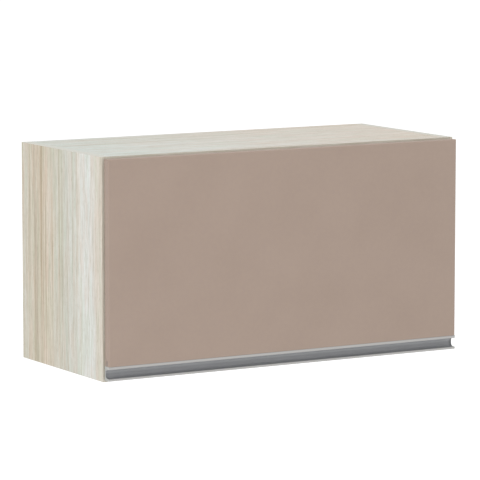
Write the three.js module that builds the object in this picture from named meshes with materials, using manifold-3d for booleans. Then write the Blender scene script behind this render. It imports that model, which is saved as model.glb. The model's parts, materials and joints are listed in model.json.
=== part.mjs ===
// Lift up wall cabinet with one flap door on concealed hinges and two gas struts.
//
// Millimetres, +Z up, the front faces -Y. The origin is the centre of the top panel's rear edge,
// where the cabinet meets the wall. The cabinet is drawn with its underside at z = 0, and one
// group then lowers it to that origin.
//
// The hinges and struts are drawn in the side view [inward, up]: "inward" counts from the
// carcass's front plane into the cabinet, and "up" counts from the carcass's top face.

import * as THREE from 'three';
import { mergeVertices } from 'three/addons/utils/BufferGeometryUtils.js';
import Module from 'manifold-3d';

const wasm = await Module();
wasm.setup();

// ---------------------------------------------------------------- driving dimensions

const CABINET_WIDTH = 700;
const CABINET_HEIGHT = 380;
const CARCASS_DEPTH = 300;
const BOARD = 15;                     // particle board of the carcass
const EDGE_BAND = 0.8;                // edging strip glued on each front edge

const BACK_THICKNESS = 3;             // thin fibreboard back
const BACK_SETBACK = 17;              // space behind the back for the wall rail
const GROOVE_DEPTH = 6;
const GROOVE_PLAY = 0.3;              // each side of the back in its groove

const DOOR_THICKNESS = 15;
const DOOR_GAP = 2;                   // between the door's back and the carcass
const SIDE_REVEAL = 2.5;              // how far the door stops short of each side
const TOP_REVEAL = 3;
const BOTTOM_REVEAL = 3;
const DOOR_EDGE_RADIUS = 2;

const PROFILE_HEIGHT = 24.5;          // aluminium handle profile along the door's lower edge
const PROFILE_LOWER_LIP = 4;
const PROFILE_UPPER_LIP = 5;
const PROFILE_WEB = 3;
const PROFILE_POCKET_RADIUS = 6;
const PROFILE_EDGE_RADIUS = 0.7;
const TONGUE_THICKNESS = 2.4;         // rib that is pressed into the door's lower edge
const TONGUE_HEIGHT = 9;
const TONGUE_BARB = 0.6;
const TONGUE_BARBS = 3;

const FIT = 0.3;                      // gap between two pieces, one of which is cut for the other

// Corner joints: each end of the top and the bottom panel has two cam locks and a dowel.
const CAM_FROM_FRONT = 50;
const CAM_FROM_REAR = 75;
const CAM_FROM_END = 24;              // cam centre from the panel's end
const CAM_RADIUS = 7.5;
const CAM_DEPTH = 12;
const CAM_RIM = 2.5;                  // the rim that the bolt's head pulls on
const CAM_RECESS = [9, 2, 2];         // cross slot for the screwdriver: length, width, depth
const BOLT_THREAD_RADIUS = 2.8;
const BOLT_THREAD = 10;               // screwed into the side panel
const BOLT_COLLAR_RADIUS = 3.7;
const BOLT_COLLAR = 1.5;
const BOLT_SHAFT_RADIUS = 3;
const BOLT_NECK_RADIUS = 1.8;
const BOLT_HEAD_RADIUS = 3;
const BOLT_HEAD = 2.7;
const DOWEL_RADIUS = 4;
const DOWEL_IN_SIDE = 11;
const DOWEL_IN_PANEL = 19;
const DOWEL_CHAMFER = 0.8;

// Concealed hinge, side view [inward, up].
const HINGE_FROM_SIDE = 100;          // hinge centre from the cabinet's outer side
const ARM_OUTER_PIVOT = [5, -33];
const ARM_INNER_PIVOT = [-9, -31];
const CUP_OUTER_PIVOT = [-3.5, -13];
const CUP_INNER_PIVOT = [-9, -14.5];
const PIN_RADIUS = 1.1;
const PIN_PLAY = 0.3;
const LINK_HALF_WIDTH = 1.8;
const INNER_LINK_BOW = 0.9;
const OUTER_LINK_BOW = 3;             // lets the link reach over the cup's rim when open
const LINK_BRIDGE_SHARE = 0.7;        // the outer link's bridge, from the cup pin to the arm pin
const INNER_LINK_HALF_THICKNESS = 2.8;
const LINK_CHEEK = 1.8;               // sheet of the outer link's two cheeks
const LINK_PLAY = 0.6;                // between the two links, across the hinge
const ARM_CHEEK = 1.6;
const ARM_CHEEK_PLAY = 1.4;           // between the outer link and the arm's cheeks
const ARM_WEB = 1.5;
const ARM_REAR = 62;                  // the arm's rear end, inward
const ARM_NOSE_RADIUS = 2.6;
const ARM_TOE = 4;                    // the web's reach in front of the outer pivot
const ARM_HEEL = 5;                   // behind the outer pivot, where the web bends upwards
const ARM_SHOULDER = 14;              // behind the outer pivot, where the cheeks meet the plate
const CUP_RADIUS = 17.2;
const CUP_DEPTH = 11.5;
const CUP_WALL = 1;
const CUP_FROM_DOOR_TOP = 22.5;       // cup centre below the door's top edge
const CUP_FLANGE = 1.2;
const CUP_FLANGE_RADIUS = 19;
const CUP_WING_SPAN = 62;
const CUP_WING_HEIGHT = 16;
const CUP_WING_OFFSET = 5.5;          // the wings' screw line, below the cup's centre
const CUP_NOTCH = 2;                  // depth of the notch in the rim, where the links come out
const CUP_LUG = 2.3;                  // thickness of the lugs that hold the pin
const CUP_LUG_RADIUS = 2.4;
const PLATE_LINE = 37;                // the mounting plate's screw line, inward
const PLATE_WING_SPAN = 54;
const PLATE_WING_DEPTH = 16;
const PLATE_WING = 2.5;
const PLATE_BLOCK_LENGTH = 34;
const PLATE_BLOCK_HEIGHT = 12.5;

// Gas strut, side view [inward, up].
const STRUT_SIDE_PIVOT = [85, -232];
const STRUT_DOOR_PIVOT = [14.5, -62];
const STRUT_FROM_PANEL = 13;          // strut axis from the side panel's inner face
const BRACKET = 2;                    // steel sheet of the brackets
const SIDE_BRACKET_SIZE = [30, 42];
const DOOR_BRACKET_SIZE = [28, 36];
const DOOR_BRACKET_FLANGE = 16;
const DOOR_BRACKET_SHIFT = 2;         // door bracket's flange from the side panel
const BRACKET_CORNER = 4;
const BALL_RADIUS = 4;
const BALL_NECK_RADIUS = 2.2;
const SOCKET_RADIUS = 6;
const SOCKET_HALF_LENGTH = 5.5;
const SOCKET_SHANK_RADIUS = 4.5;
const SOCKET_SHANK = 15;              // from the ball's centre to the shank's end
const ROD_RADIUS = 3;
const ROD_THREAD = 6;                 // how far rod or tube stud enters a socket
const TUBE_RADIUS = 7.5;
const TUBE_WALL = 1;
const TUBE_FROM_ROD_SOCKET = 4;       // free rod between the socket and the closed tube
const TUBE_GUIDE = 9;
const TUBE_CAP = 4;
const STRUT_STROKE = 60;
const PISTON_LENGTH = 8;
const PISTON_PLAY = 2;

const BUMPER_RADIUS = 4;
const BUMPER_HEIGHT = 1.7;
const BUMPER_ABOVE_PROFILE = 12;
const BUMPER_FROM_INSIDE = 6;         // bumper's centre from the side panel's inner face

// Concealed cabinet hangers in the upper rear corners.
const HANGER_SIZE = [18, 36, 58];     // x, y, z of the housing
const HANGER_BELOW_TOP = 6;
const HANGER_WALL = 2;
const HANGER_SCREW_RADIUS = 4;
const HANGER_SCREW_RECESS = 3;
const HANGER_SCREW_PITCH = 26;
const HOOK_THICKNESS = 2.5;
const HOOK_HEIGHT = 14;
const HOOK_INSIDE = 26;               // the hook's length inside the housing
const HOOK_FROM_WALL = 3;
const HOOK_LIP = 10;
const HOOK_LIP_THICKNESS = 3;
const HOOK_PLAY = 0.4;
const BACK_WINDOW_MARGIN = 4;

// ---------------------------------------------------------------- what follows from them

const HALF_WIDTH = CABINET_WIDTH / 2;
const INSIDE_HALF = HALF_WIDTH - BOARD;
const FRONT = -CARCASS_DEPTH;
const DOOR_BACK = FRONT - DOOR_GAP;
const DOOR_FRONT = DOOR_BACK - DOOR_THICKNESS;
const DOOR_HALF = HALF_WIDTH - SIDE_REVEAL;
const DOOR_TOP = CABINET_HEIGHT - TOP_REVEAL;
const PANEL_BOTTOM = BOTTOM_REVEAL + PROFILE_HEIGHT;
const BACK_FRONT = -BACK_SETBACK - BACK_THICKNESS;
const INSIDE_TOP = CABINET_HEIGHT - BOARD;
const HINGE_X = HALF_WIDTH - HINGE_FROM_SIDE;

const SIDES = { left: -1, right: 1 };

// Flat faces round the turned pieces.
const CAM_SIDES = 16;
const BOLT_SIDES = 8;
const DOWEL_SIDES = 12;
const PIN_SIDES = 12;
const CUP_SIDES = 32;
const WING_SIDES = 20;
const SOCKET_SIDES = 20;

// Layers of the hinge, each counted from the hinge's own centre plane.
const LINK_CHEEK_INNER = INNER_LINK_HALF_THICKNESS + LINK_PLAY;
const LINK_CHEEK_OUTER = LINK_CHEEK_INNER + LINK_CHEEK;
const ARM_CHEEK_INNER = LINK_CHEEK_OUTER + ARM_CHEEK_PLAY;
const ARM_CHEEK_OUTER = ARM_CHEEK_INNER + ARM_CHEEK;
const CUP_LUG_INNER = ARM_CHEEK_INNER + PIN_PLAY;
const CUP_LUG_OUTER = CUP_LUG_INNER + CUP_LUG;
const CUP_CENTRE_Z = DOOR_TOP - CUP_FROM_DOOR_TOP;

// ---------------------------------------------------------------- materials

const paint = (color, roughness, metalness = 0) =>
  new THREE.MeshStandardMaterial({ color, roughness, metalness });

const MATERIALS = {
  oakBoard: paint(0xcfc8b8, 0.75),
  fibreboard: paint(0xd8d4c9, 0.8),
  taupeLacquer: paint(0xaa988c, 0.7),
  aluminium: paint(0xb6b4b1, 0.4, 1),
  plated: paint(0xc2c3c4, 0.3, 1),
  steel: paint(0x9c9d9e, 0.35, 1),
  tubeCoat: paint(0x9a9b9d, 0.45, 0.2),
  blackPlastic: paint(0x1d1d1e, 0.5),
  greyPlastic: paint(0xb9bab8, 0.55),
  clearRubber: paint(0xdfe0dd, 0.4),
  beech: paint(0xd2b48c, 0.7),
};

// ---------------------------------------------------------------- making solids

const toSolid = (geometry) => {
  geometry.deleteAttribute('normal');
  geometry.deleteAttribute('uv');
  const merged = mergeVertices(geometry, 1e-4);
  const vertProperties = Float32Array.from(merged.getAttribute('position').array);
  const triVerts = Uint32Array.from(merged.getIndex().array);
  return new wasm.Manifold(new wasm.Mesh({ numProp: 3, vertProperties, triVerts }));
};

const fuse = (first, ...others) => others.reduce((solid, other) => solid.add(other), first);
const cut = (first, ...others) => others.reduce((solid, other) => solid.subtract(other), first);

/** A box between two values on each axis, given in either order. */
const box = ([x0, x1], [y0, y1], [z0, z1]) => {
  const geometry = new THREE.BoxGeometry(Math.abs(x1 - x0), Math.abs(y1 - y0), Math.abs(z1 - z0));
  geometry.translate((x0 + x1) / 2, (y0 + y1) / 2, (z0 + z1) / 2);
  return toSolid(geometry);
};

/** A round bar between two points. */
const bar = (radius, from, to, steps = 16) => {
  const start = new THREE.Vector3(...from);
  const end = new THREE.Vector3(...to);
  const direction = end.clone().sub(start);
  const geometry = new THREE.CylinderGeometry(radius, radius, direction.length(), steps);
  const turn = new THREE.Quaternion().setFromUnitVectors(
    new THREE.Vector3(0, 1, 0), direction.clone().normalize());
  geometry.applyQuaternion(turn);
  geometry.translate(...start.add(end).divideScalar(2).toArray());
  return toSolid(geometry);
};

/** A ball. */
const ball = (radius, centre, steps = 16) => {
  const geometry = new THREE.SphereGeometry(radius, steps, steps / 2);
  geometry.translate(...centre);
  return toSolid(geometry);
};

/** A solid turned about the line from one point towards another: profile of [radius, distance]. */
const turned = (profile, from, to, steps = 20) => {
  const start = new THREE.Vector3(...from);
  const direction = new THREE.Vector3(...to).sub(start).normalize();
  const points = profile.map(([radius, distance]) => new THREE.Vector2(radius, distance));
  const geometry = new THREE.LatheGeometry(points, steps);
  geometry.applyQuaternion(
    new THREE.Quaternion().setFromUnitVectors(new THREE.Vector3(0, 1, 0), direction));
  geometry.translate(...start.toArray());
  return toSolid(geometry);
};

/** An outline in (y, z), drawn out along x. */
const alongX = (shape, [x0, x1], curveSegments = 4) => {
  const depth = Math.abs(x1 - x0);
  const geometry = new THREE.ExtrudeGeometry(shape, { depth, bevelEnabled: false, curveSegments });
  geometry.applyMatrix4(new THREE.Matrix4().makeBasis(
    new THREE.Vector3(0, 1, 0), new THREE.Vector3(0, 0, 1), new THREE.Vector3(1, 0, 0)));
  geometry.translate(Math.min(x0, x1), 0, 0);
  return toSolid(geometry);
};

/** An outline in (x, z), drawn out along y. */
const alongY = (shape, [y0, y1], curveSegments = 4) => {
  const depth = Math.abs(y1 - y0);
  const geometry = new THREE.ExtrudeGeometry(shape, { depth, bevelEnabled: false, curveSegments });
  geometry.applyMatrix4(new THREE.Matrix4().makeBasis(
    new THREE.Vector3(1, 0, 0), new THREE.Vector3(0, 0, 1), new THREE.Vector3(0, -1, 0)));
  geometry.translate(0, Math.max(y0, y1), 0);
  return toSolid(geometry);
};

/** An outline in (x, y), drawn out along z. */
const alongZ = (shape, [z0, z1], curveSegments = 4) => {
  const depth = Math.abs(z1 - z0);
  const geometry = new THREE.ExtrudeGeometry(shape, { depth, bevelEnabled: false, curveSegments });
  geometry.translate(0, 0, Math.min(z0, z1));
  return toSolid(geometry);
};

/** A rectangle about a centre, with rounded corners. */
const roundedRectangle = (cx, cy, width, height, radius) => {
  const shape = new THREE.Shape();
  const [x, y] = [cx - width / 2, cy - height / 2];
  shape.moveTo(x + radius, y);
  shape.lineTo(x + width - radius, y);
  shape.absarc(x + width - radius, y + radius, radius, -Math.PI / 2, 0);
  shape.absarc(x + width - radius, y + height - radius, radius, 0, Math.PI / 2);
  shape.absarc(x + radius, y + height - radius, radius, Math.PI / 2, Math.PI);
  shape.absarc(x + radius, y + radius, radius, Math.PI, 1.5 * Math.PI);
  return shape;
};

// Side-view points [inward, up] to the cabinet's y and z.
const sideY = (inward) => FRONT + inward;
const sideZ = (up) => CABINET_HEIGHT + up;
const sideView = ([inward, up]) => [sideY(inward), sideZ(up)];

/** A bar across the hinge or strut at a side-view point. */
const crossBar = (radius, point, [x0, x1], steps) =>
  bar(radius, [x0, ...sideView(point)], [x1, ...sideView(point)], steps);

/** A closed side-view outline through straight points. */
const sideOutline = (points) =>
  new THREE.Shape(points.map((point) => new THREE.Vector2(...sideView(point))));

/** A point inside a bowed link, at a share of the way from one pin to the other. */
const bowPoint = (from, to, bow, share) => {
  const chord = new THREE.Vector2(to[0] - from[0], to[1] - from[1]);
  const right = new THREE.Vector2(chord.y, -chord.x).normalize();
  const offset = bow * 4 * share * (1 - share);
  return [from[0] + chord.x * share + right.x * offset, from[1] + chord.y * share + right.y * offset];
};

/** The outline of a link between two pins, bowed to the right like a kidney. */
const linkOutline = (from, to, halfWidth, bow) => {
  const [a, b] = [from, to].map((point) => new THREE.Vector2(...sideView(point)));
  const chord = b.clone().sub(a);
  const half = chord.length() / 2;
  const radius = (half * half + bow * bow) / (2 * bow);
  const normal = new THREE.Vector2(-chord.y, chord.x).normalize();
  const centre = a.clone().add(b).divideScalar(2).addScaledVector(normal, radius - bow);
  const angleA = a.clone().sub(centre).angle();
  const angleB = b.clone().sub(centre).angle();
  const shape = new THREE.Shape();
  shape.absarc(centre.x, centre.y, radius + halfWidth, angleA, angleB);
  shape.absarc(b.x, b.y, halfWidth, angleB, angleB + Math.PI);
  shape.absarc(centre.x, centre.y, radius - halfWidth, angleB, angleA, true);
  shape.absarc(a.x, a.y, halfWidth, angleA + Math.PI, angleA + 2 * Math.PI);
  return shape;
};

// ---------------------------------------------------------------- carcass

const GROOVE_Y = [BACK_FRONT - GROOVE_PLAY, -BACK_SETBACK + GROOVE_PLAY];

// The top and the bottom panel: the inner face, and the way from that face into the room.
const LEVELS = { top: { insideZ: INSIDE_TOP, inwards: -1 }, bottom: { insideZ: BOARD, inwards: 1 } };
const CAM_PLACES = { front: FRONT + CAM_FROM_FRONT, rear: -CAM_FROM_REAR };
const DOWEL_Y = (CAM_PLACES.front + CAM_PLACES.rear) / 2;
const CAM_CAVITY_RADIUS = BOLT_HEAD_RADIUS + 2 * FIT;

/** A height in a top or bottom panel, at a depth below its inner face. */
const depthZ = ({ insideZ, inwards }, depth) => insideZ - inwards * depth;

/** A point on a joint's axis, at a distance from the side panel's inner face. */
const jointPoint = (side, level, y, distance) =>
  [side * (INSIDE_HALF - distance), y, depthZ(level, BOARD / 2)];

/** A cam's centre at a depth below the panel's inner face. */
const camPoint = (side, level, y, depth) =>
  [side * (INSIDE_HALF - CAM_FROM_END), y, depthZ(level, depth)];

/** The bolt that a cam pulls: thread, collar, shaft, and a head behind a narrow neck. */
const camBolt = (side, level, y) => {
  const neckStart = CAM_FROM_END - CAM_RADIUS - 3 * FIT;
  const headStart = CAM_FROM_END - CAM_RADIUS + CAM_RIM + 2 * FIT;
  const end = headStart + BOLT_HEAD;
  const profile = [[0, -BOLT_THREAD], [BOLT_THREAD_RADIUS, -BOLT_THREAD], [BOLT_THREAD_RADIUS, 0],
    [BOLT_COLLAR_RADIUS, 0], [BOLT_COLLAR_RADIUS, BOLT_COLLAR], [BOLT_SHAFT_RADIUS, BOLT_COLLAR],
    [BOLT_SHAFT_RADIUS, neckStart], [BOLT_NECK_RADIUS, neckStart], [BOLT_NECK_RADIUS, headStart],
    [BOLT_HEAD_RADIUS, headStart], [BOLT_HEAD_RADIUS, end], [0, end]];
  return turned(profile, jointPoint(side, level, y, 0), jointPoint(side, level, y, 1), BOLT_SIDES);
};

/** A cam in its locked turn: the mouth for the bolt's head points to the rear. */
const camLock = (side, level, y) => {
  const [x, , z] = jointPoint(side, level, y, CAM_FROM_END);
  const disc = bar(CAM_RADIUS, camPoint(side, level, y, FIT), camPoint(side, level, y, CAM_DEPTH),
    CAM_SIDES);
  const outside = 2 * CAM_RADIUS;
  const rimInside = jointPoint(side, level, y, CAM_FROM_END - CAM_RADIUS + CAM_RIM);
  const cavity = bar(CAM_CAVITY_RADIUS, rimInside, [x, y, z], BOLT_SIDES);
  const mouth = bar(CAM_CAVITY_RADIUS, [x, y, z], [x, y + outside, z], BOLT_SIDES);
  const slotHalf = BOLT_NECK_RADIUS + FIT;
  const slot = box([x, x + side * outside], [y - slotHalf, y + outside], [z - slotHalf, z + slotHalf]);
  const [length, width, depth] = CAM_RECESS;
  const recess = [[length, width], [width, length]].map(([across, along]) =>
    box([x - across / 2, x + across / 2], [y - along / 2, y + along / 2],
      [depthZ(level, -1), depthZ(level, depth)]));
  return cut(disc, cavity, mouth, slot, ...recess);
};

const dowel = (side, level) => {
  const [start, end] = [-DOWEL_IN_SIDE, DOWEL_IN_PANEL];
  const narrow = DOWEL_RADIUS - DOWEL_CHAMFER;
  return turned([[0, start], [narrow, start], [DOWEL_RADIUS, start + DOWEL_CHAMFER],
    [DOWEL_RADIUS, end - DOWEL_CHAMFER], [narrow, end], [0, end]],
  jointPoint(side, level, DOWEL_Y, 0), jointPoint(side, level, DOWEL_Y, 1), DOWEL_SIDES);
};

/** The holes of one corner, which the side panel and the top or bottom panel share. */
const jointHoles = (side, level) => {
  const hole = (radius, y, [start, end], sides) => bar(radius + FIT,
    jointPoint(side, level, y, start), jointPoint(side, level, y, end), sides);
  const forCams = Object.values(CAM_PLACES).flatMap((y) => [
    hole(BOLT_THREAD_RADIUS, y, [-BOLT_THREAD - FIT, 0], BOLT_SIDES),
    hole(BOLT_COLLAR_RADIUS, y, [0, CAM_FROM_END], BOLT_SIDES),
    bar(CAM_RADIUS + FIT, camPoint(side, level, y, -1), camPoint(side, level, y, CAM_DEPTH + FIT),
      CAM_SIDES),
  ]);
  return [...forCams,
    hole(DOWEL_RADIUS, DOWEL_Y, [-DOWEL_IN_SIDE - FIT, DOWEL_IN_PANEL + FIT], DOWEL_SIDES)];
};

const sidePanel = (side) => cut(
  box([side * INSIDE_HALF, side * HALF_WIDTH], [FRONT + EDGE_BAND, 0], [0, CABINET_HEIGHT]),
  box([side * (INSIDE_HALF - 1), side * (INSIDE_HALF + GROOVE_DEPTH)], GROOVE_Y,
    [BOARD - GROOVE_DEPTH, INSIDE_TOP + GROOVE_DEPTH]),
  ...Object.values(LEVELS).flatMap((level) => jointHoles(side, level)));

/** The top or the bottom panel. */
const crossPanel = (level) => cut(
  box([-INSIDE_HALF, INSIDE_HALF], [FRONT + EDGE_BAND, 0], [level.insideZ, depthZ(level, BOARD)]),
  box([-INSIDE_HALF - 1, INSIDE_HALF + 1], GROOVE_Y, [depthZ(level, GROOVE_DEPTH), depthZ(level, -1)]),
  ...Object.values(SIDES).flatMap((side) => jointHoles(side, level)));

const edgeBand = ([x0, x1], [z0, z1]) => box([x0, x1], [FRONT, FRONT + EDGE_BAND], [z0, z1]);

const HANGER_TOP = INSIDE_TOP - HANGER_BELOW_TOP;
const HOOK_X = INSIDE_HALF - HANGER_SIZE[0] / 2;
const HOOK_TOP = HANGER_TOP - HANGER_WALL - 4 * HOOK_PLAY;
const HANGER_REAR = BACK_FRONT - FIT;

const backPanel = () => {
  const reach = GROOVE_DEPTH - GROOVE_PLAY;
  const board = box([-INSIDE_HALF - reach, INSIDE_HALF + reach], [BACK_FRONT, -BACK_SETBACK],
    [BOARD - reach, INSIDE_TOP + reach]);
  const windows = Object.values(SIDES).map((side) => {
    const halfWindow = HOOK_THICKNESS / 2 + BACK_WINDOW_MARGIN;
    return box([side * (HOOK_X - halfWindow), side * (HOOK_X + halfWindow)],
      [BACK_FRONT - 1, -BACK_SETBACK + 1],
      [HOOK_TOP - HOOK_HEIGHT - HOOK_LIP - BACK_WINDOW_MARGIN, HOOK_TOP + BACK_WINDOW_MARGIN / 2]);
  });
  return cut(board, ...windows);
};

const hangerHousing = (side) => {
  const [width, depth, height] = HANGER_SIZE;
  const front = HANGER_REAR - depth;
  const body = box([side * (INSIDE_HALF - width), side * INSIDE_HALF], [front, HANGER_REAR],
    [HANGER_TOP - height, HANGER_TOP]);
  const slotHalf = HOOK_THICKNESS / 2 + HOOK_PLAY;
  const slot = box([side * (HOOK_X - slotHalf), side * (HOOK_X + slotHalf)],
    [HANGER_REAR - HOOK_INSIDE - HOOK_PLAY, HANGER_REAR + 1],
    [HOOK_TOP - HOOK_HEIGHT - HOOK_PLAY, HOOK_TOP + HOOK_PLAY]);
  const screwX = side * HOOK_X;
  const middleZ = HANGER_TOP - height / 2;
  const recesses = [-0.5, 0.5].map((step) => {
    const z = middleZ + step * HANGER_SCREW_PITCH;
    return bar(HANGER_SCREW_RADIUS, [screwX, front - 1, z],
      [screwX, front + HANGER_SCREW_RECESS, z]);
  });
  return cut(body, slot, ...recesses);
};

/** A steel hook: a bar out of the housing's rear, with a lip that drops behind the wall rail. */
const hangerHook = (side) => {
  const tip = -HOOK_FROM_WALL;
  const root = HANGER_REAR - HOOK_INSIDE;
  const bottom = HOOK_TOP - HOOK_HEIGHT;
  const shape = new THREE.Shape();
  shape.moveTo(root, bottom);
  shape.lineTo(tip - HOOK_LIP_THICKNESS, bottom);
  shape.lineTo(tip - HOOK_LIP_THICKNESS, bottom - HOOK_LIP);
  shape.lineTo(tip, bottom - HOOK_LIP + HOOK_LIP_THICKNESS / 2);
  shape.lineTo(tip, HOOK_TOP - HOOK_LIP_THICKNESS);
  shape.lineTo(tip - HOOK_LIP_THICKNESS, HOOK_TOP);
  shape.lineTo(root, HOOK_TOP);
  return alongX(shape, [side * HOOK_X - HOOK_THICKNESS / 2, side * HOOK_X + HOOK_THICKNESS / 2]);
};

// ---------------------------------------------------------------- door

/** The tongue of the handle profile: a rib with a row of barbs on each side. */
const tongueOutline = () => {
  const middle = (DOOR_BACK + DOOR_FRONT) / 2;
  const half = TONGUE_THICKNESS / 2;
  const top = PANEL_BOTTOM + TONGUE_HEIGHT;
  const pitch = TONGUE_HEIGHT / (TONGUE_BARBS + 1);
  const barbZ = Array.from({ length: TONGUE_BARBS }, (_, i) => PANEL_BOTTOM + pitch * (i + 1));
  const rearSide = barbZ.flatMap((z) => [
    [middle + half, z - pitch / 3], [middle + half + TONGUE_BARB, z - pitch / 3], [middle + half, z]]);
  const frontSide = rearSide.map(([y, z]) => [2 * middle - y, z]).reverse();
  const root = PANEL_BOTTOM - PROFILE_UPPER_LIP / 2;
  const points = [[middle - half, root], [middle + half, root], ...rearSide,
    [middle + half, top], [middle - half, top], ...frontSide];
  return new THREE.Shape(points.map(([y, z]) => new THREE.Vector2(y, z)));
};

/** The door's board: all edges rounded but the lower ones, which meet the handle profile. */
const doorPanel = () => {
  const middle = (DOOR_BACK + DOOR_FRONT) / 2;
  const belowProfile = PANEL_BOTTOM - 2 * DOOR_EDGE_RADIUS;
  const section = roundedRectangle(middle, (DOOR_TOP + belowProfile) / 2, DOOR_THICKNESS,
    DOOR_TOP - belowProfile, DOOR_EDGE_RADIUS);
  const plan = roundedRectangle(0, middle, 2 * DOOR_HALF, DOOR_THICKNESS, DOOR_EDGE_RADIUS);
  const board = alongX(section, [-DOOR_HALF, DOOR_HALF])
    .intersect(alongZ(plan, [PANEL_BOTTOM, DOOR_TOP]));
  const bores = Object.values(SIDES).map((side) => bar(CUP_RADIUS + FIT,
    [side * HINGE_X, DOOR_BACK - CUP_DEPTH - FIT, CUP_CENTRE_Z],
    [side * HINGE_X, DOOR_BACK + 1, CUP_CENTRE_Z], CUP_SIDES));
  const grooveHalf = TONGUE_THICKNESS / 2 + TONGUE_BARB + FIT;
  const groove = box([-DOOR_HALF - 1, DOOR_HALF + 1], [middle - grooveHalf, middle + grooveHalf],
    [PANEL_BOTTOM - 1, PANEL_BOTTOM + TONGUE_HEIGHT + FIT]);
  return cut(board, ...bores, groove);
};

/** The handle profile's section: a channel open to the front, with a tongue on its upper lip. */
const handleProfile = () => {
  const [rear, front] = [DOOR_BACK, DOOR_FRONT];
  const [bottom, top] = [BOTTOM_REVEAL, PANEL_BOTTOM];
  const web = rear - PROFILE_WEB;
  const floor = bottom + PROFILE_LOWER_LIP;
  const ceiling = top - PROFILE_UPPER_LIP;
  const r = PROFILE_POCKET_RADIUS;
  const e = PROFILE_EDGE_RADIUS;
  const shape = new THREE.Shape();
  shape.moveTo(front + e, bottom);
  shape.lineTo(rear - e, bottom);
  shape.absarc(rear - e, bottom + e, e, -Math.PI / 2, 0);
  shape.lineTo(rear, top);
  shape.lineTo(front + e, top);
  shape.absarc(front + e, top - e, e, Math.PI / 2, Math.PI);
  shape.lineTo(front, ceiling + e);
  shape.absarc(front + e, ceiling + e, e, Math.PI, 1.5 * Math.PI);
  shape.lineTo(web - r, ceiling);
  shape.absarc(web - r, ceiling - r, r, Math.PI / 2, 0, true);
  shape.absarc(web - r, floor + r, r, 0, -Math.PI / 2, true);
  shape.lineTo(front + e, floor);
  shape.absarc(front + e, floor - e, e, Math.PI / 2, Math.PI);
  shape.absarc(front + e, bottom + e, e, Math.PI, 1.5 * Math.PI);
  const span = [-DOOR_HALF, DOOR_HALF];
  return fuse(alongX(shape, span), alongX(tongueOutline(), span));
};

const doorBumper = (side) => {
  const x = side * (INSIDE_HALF + BUMPER_FROM_INSIDE);
  const z = PANEL_BOTTOM + BUMPER_ABOVE_PROFILE;
  const shoulder = BUMPER_HEIGHT / 2;
  return turned([[0, 0], [BUMPER_RADIUS, 0], [BUMPER_RADIUS, shoulder],
    [BUMPER_RADIUS - shoulder, BUMPER_HEIGHT], [0, BUMPER_HEIGHT]],
  [x, DOOR_BACK, z], [x, FRONT, z]);
};

// ---------------------------------------------------------------- hinges

const hingePlate = (side) => {
  const x = side * HINGE_X;
  const blockEnd = PLATE_LINE + PLATE_BLOCK_LENGTH / 2;
  const wing = new THREE.BoxGeometry(PLATE_WING_SPAN - PLATE_WING_DEPTH, PLATE_WING_DEPTH, PLATE_WING);
  wing.translate(x, sideY(PLATE_LINE), INSIDE_TOP - PLATE_WING / 2);
  const ends = [-0.5, 0.5].map((step) => {
    const endX = x + step * (PLATE_WING_SPAN - PLATE_WING_DEPTH);
    return bar(PLATE_WING_DEPTH / 2, [endX, sideY(PLATE_LINE), INSIDE_TOP - PLATE_WING],
      [endX, sideY(PLATE_LINE), INSIDE_TOP], WING_SIDES);
  });
  const blockHalf = ARM_CHEEK_INNER - FIT;
  const block = box([x - blockHalf, x + blockHalf],
    [sideY(blockEnd - PLATE_BLOCK_LENGTH), sideY(blockEnd)],
    [INSIDE_TOP - PLATE_BLOCK_HEIGHT, INSIDE_TOP]);
  return fuse(toSolid(wing), ...ends, block);
};

/** The arm: two cheeks and a web below them, folded from one sheet, slid over the plate. */
const hingeArm = (side) => {
  const x = side * HINGE_X;
  const seat = -BOARD - PLATE_WING - FIT;
  const rearBottom = -BOARD - PLATE_BLOCK_HEIGHT - FIT - ARM_WEB;
  const [pivotIn, pivotUp] = ARM_OUTER_PIVOT;
  const frontBottom = pivotUp - LINK_HALF_WIDTH - ARM_WEB - PIN_PLAY;
  const bend = PLATE_LINE - PLATE_BLOCK_LENGTH / 2 - ARM_TOE;
  const [noseIn, noseUp] = ARM_INNER_PIVOT;
  const lowerLine = [[ARM_REAR, rearBottom], [bend, rearBottom],
    [pivotIn + ARM_HEEL, frontBottom], [pivotIn - ARM_TOE, frontBottom]];
  const nose = new THREE.Shape();
  const noseCentre = sideView(ARM_INNER_PIVOT);
  const [first, ...rest] = lowerLine.map(sideView);
  nose.moveTo(...first);
  rest.forEach((point) => nose.lineTo(...point));
  nose.absarc(...noseCentre, ARM_NOSE_RADIUS, 1.4 * Math.PI, 0.55 * Math.PI, true);
  nose.lineTo(...sideView([pivotIn, noseUp + ARM_NOSE_RADIUS]));
  nose.lineTo(...sideView([pivotIn + ARM_SHOULDER, seat]));
  nose.lineTo(...sideView([ARM_REAR, seat]));
  const body = alongX(nose, [x - ARM_CHEEK_OUTER, x + ARM_CHEEK_OUTER]);
  const channel = sideOutline([
    [ARM_REAR + 1, rearBottom + ARM_WEB], [bend, rearBottom + ARM_WEB],
    [pivotIn + ARM_HEEL, frontBottom + ARM_WEB], [pivotIn - ARM_TOE, frontBottom + ARM_WEB],
    [pivotIn - 1.5 * ARM_TOE, frontBottom - 1], [noseIn - 2 * ARM_NOSE_RADIUS, frontBottom - 1],
    [noseIn - 2 * ARM_NOSE_RADIUS, 0], [ARM_REAR + 1, 0]]);
  const pinSpan = [x - ARM_CHEEK_OUTER - 1, x + ARM_CHEEK_OUTER + 1];
  return cut(body, alongX(channel, [x - ARM_CHEEK_INNER, x + ARM_CHEEK_INNER]),
    ...[ARM_OUTER_PIVOT, ARM_INNER_PIVOT].map((pivot) =>
      crossBar(PIN_RADIUS + PIN_PLAY, pivot, pinSpan, PIN_SIDES)));
};

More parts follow.
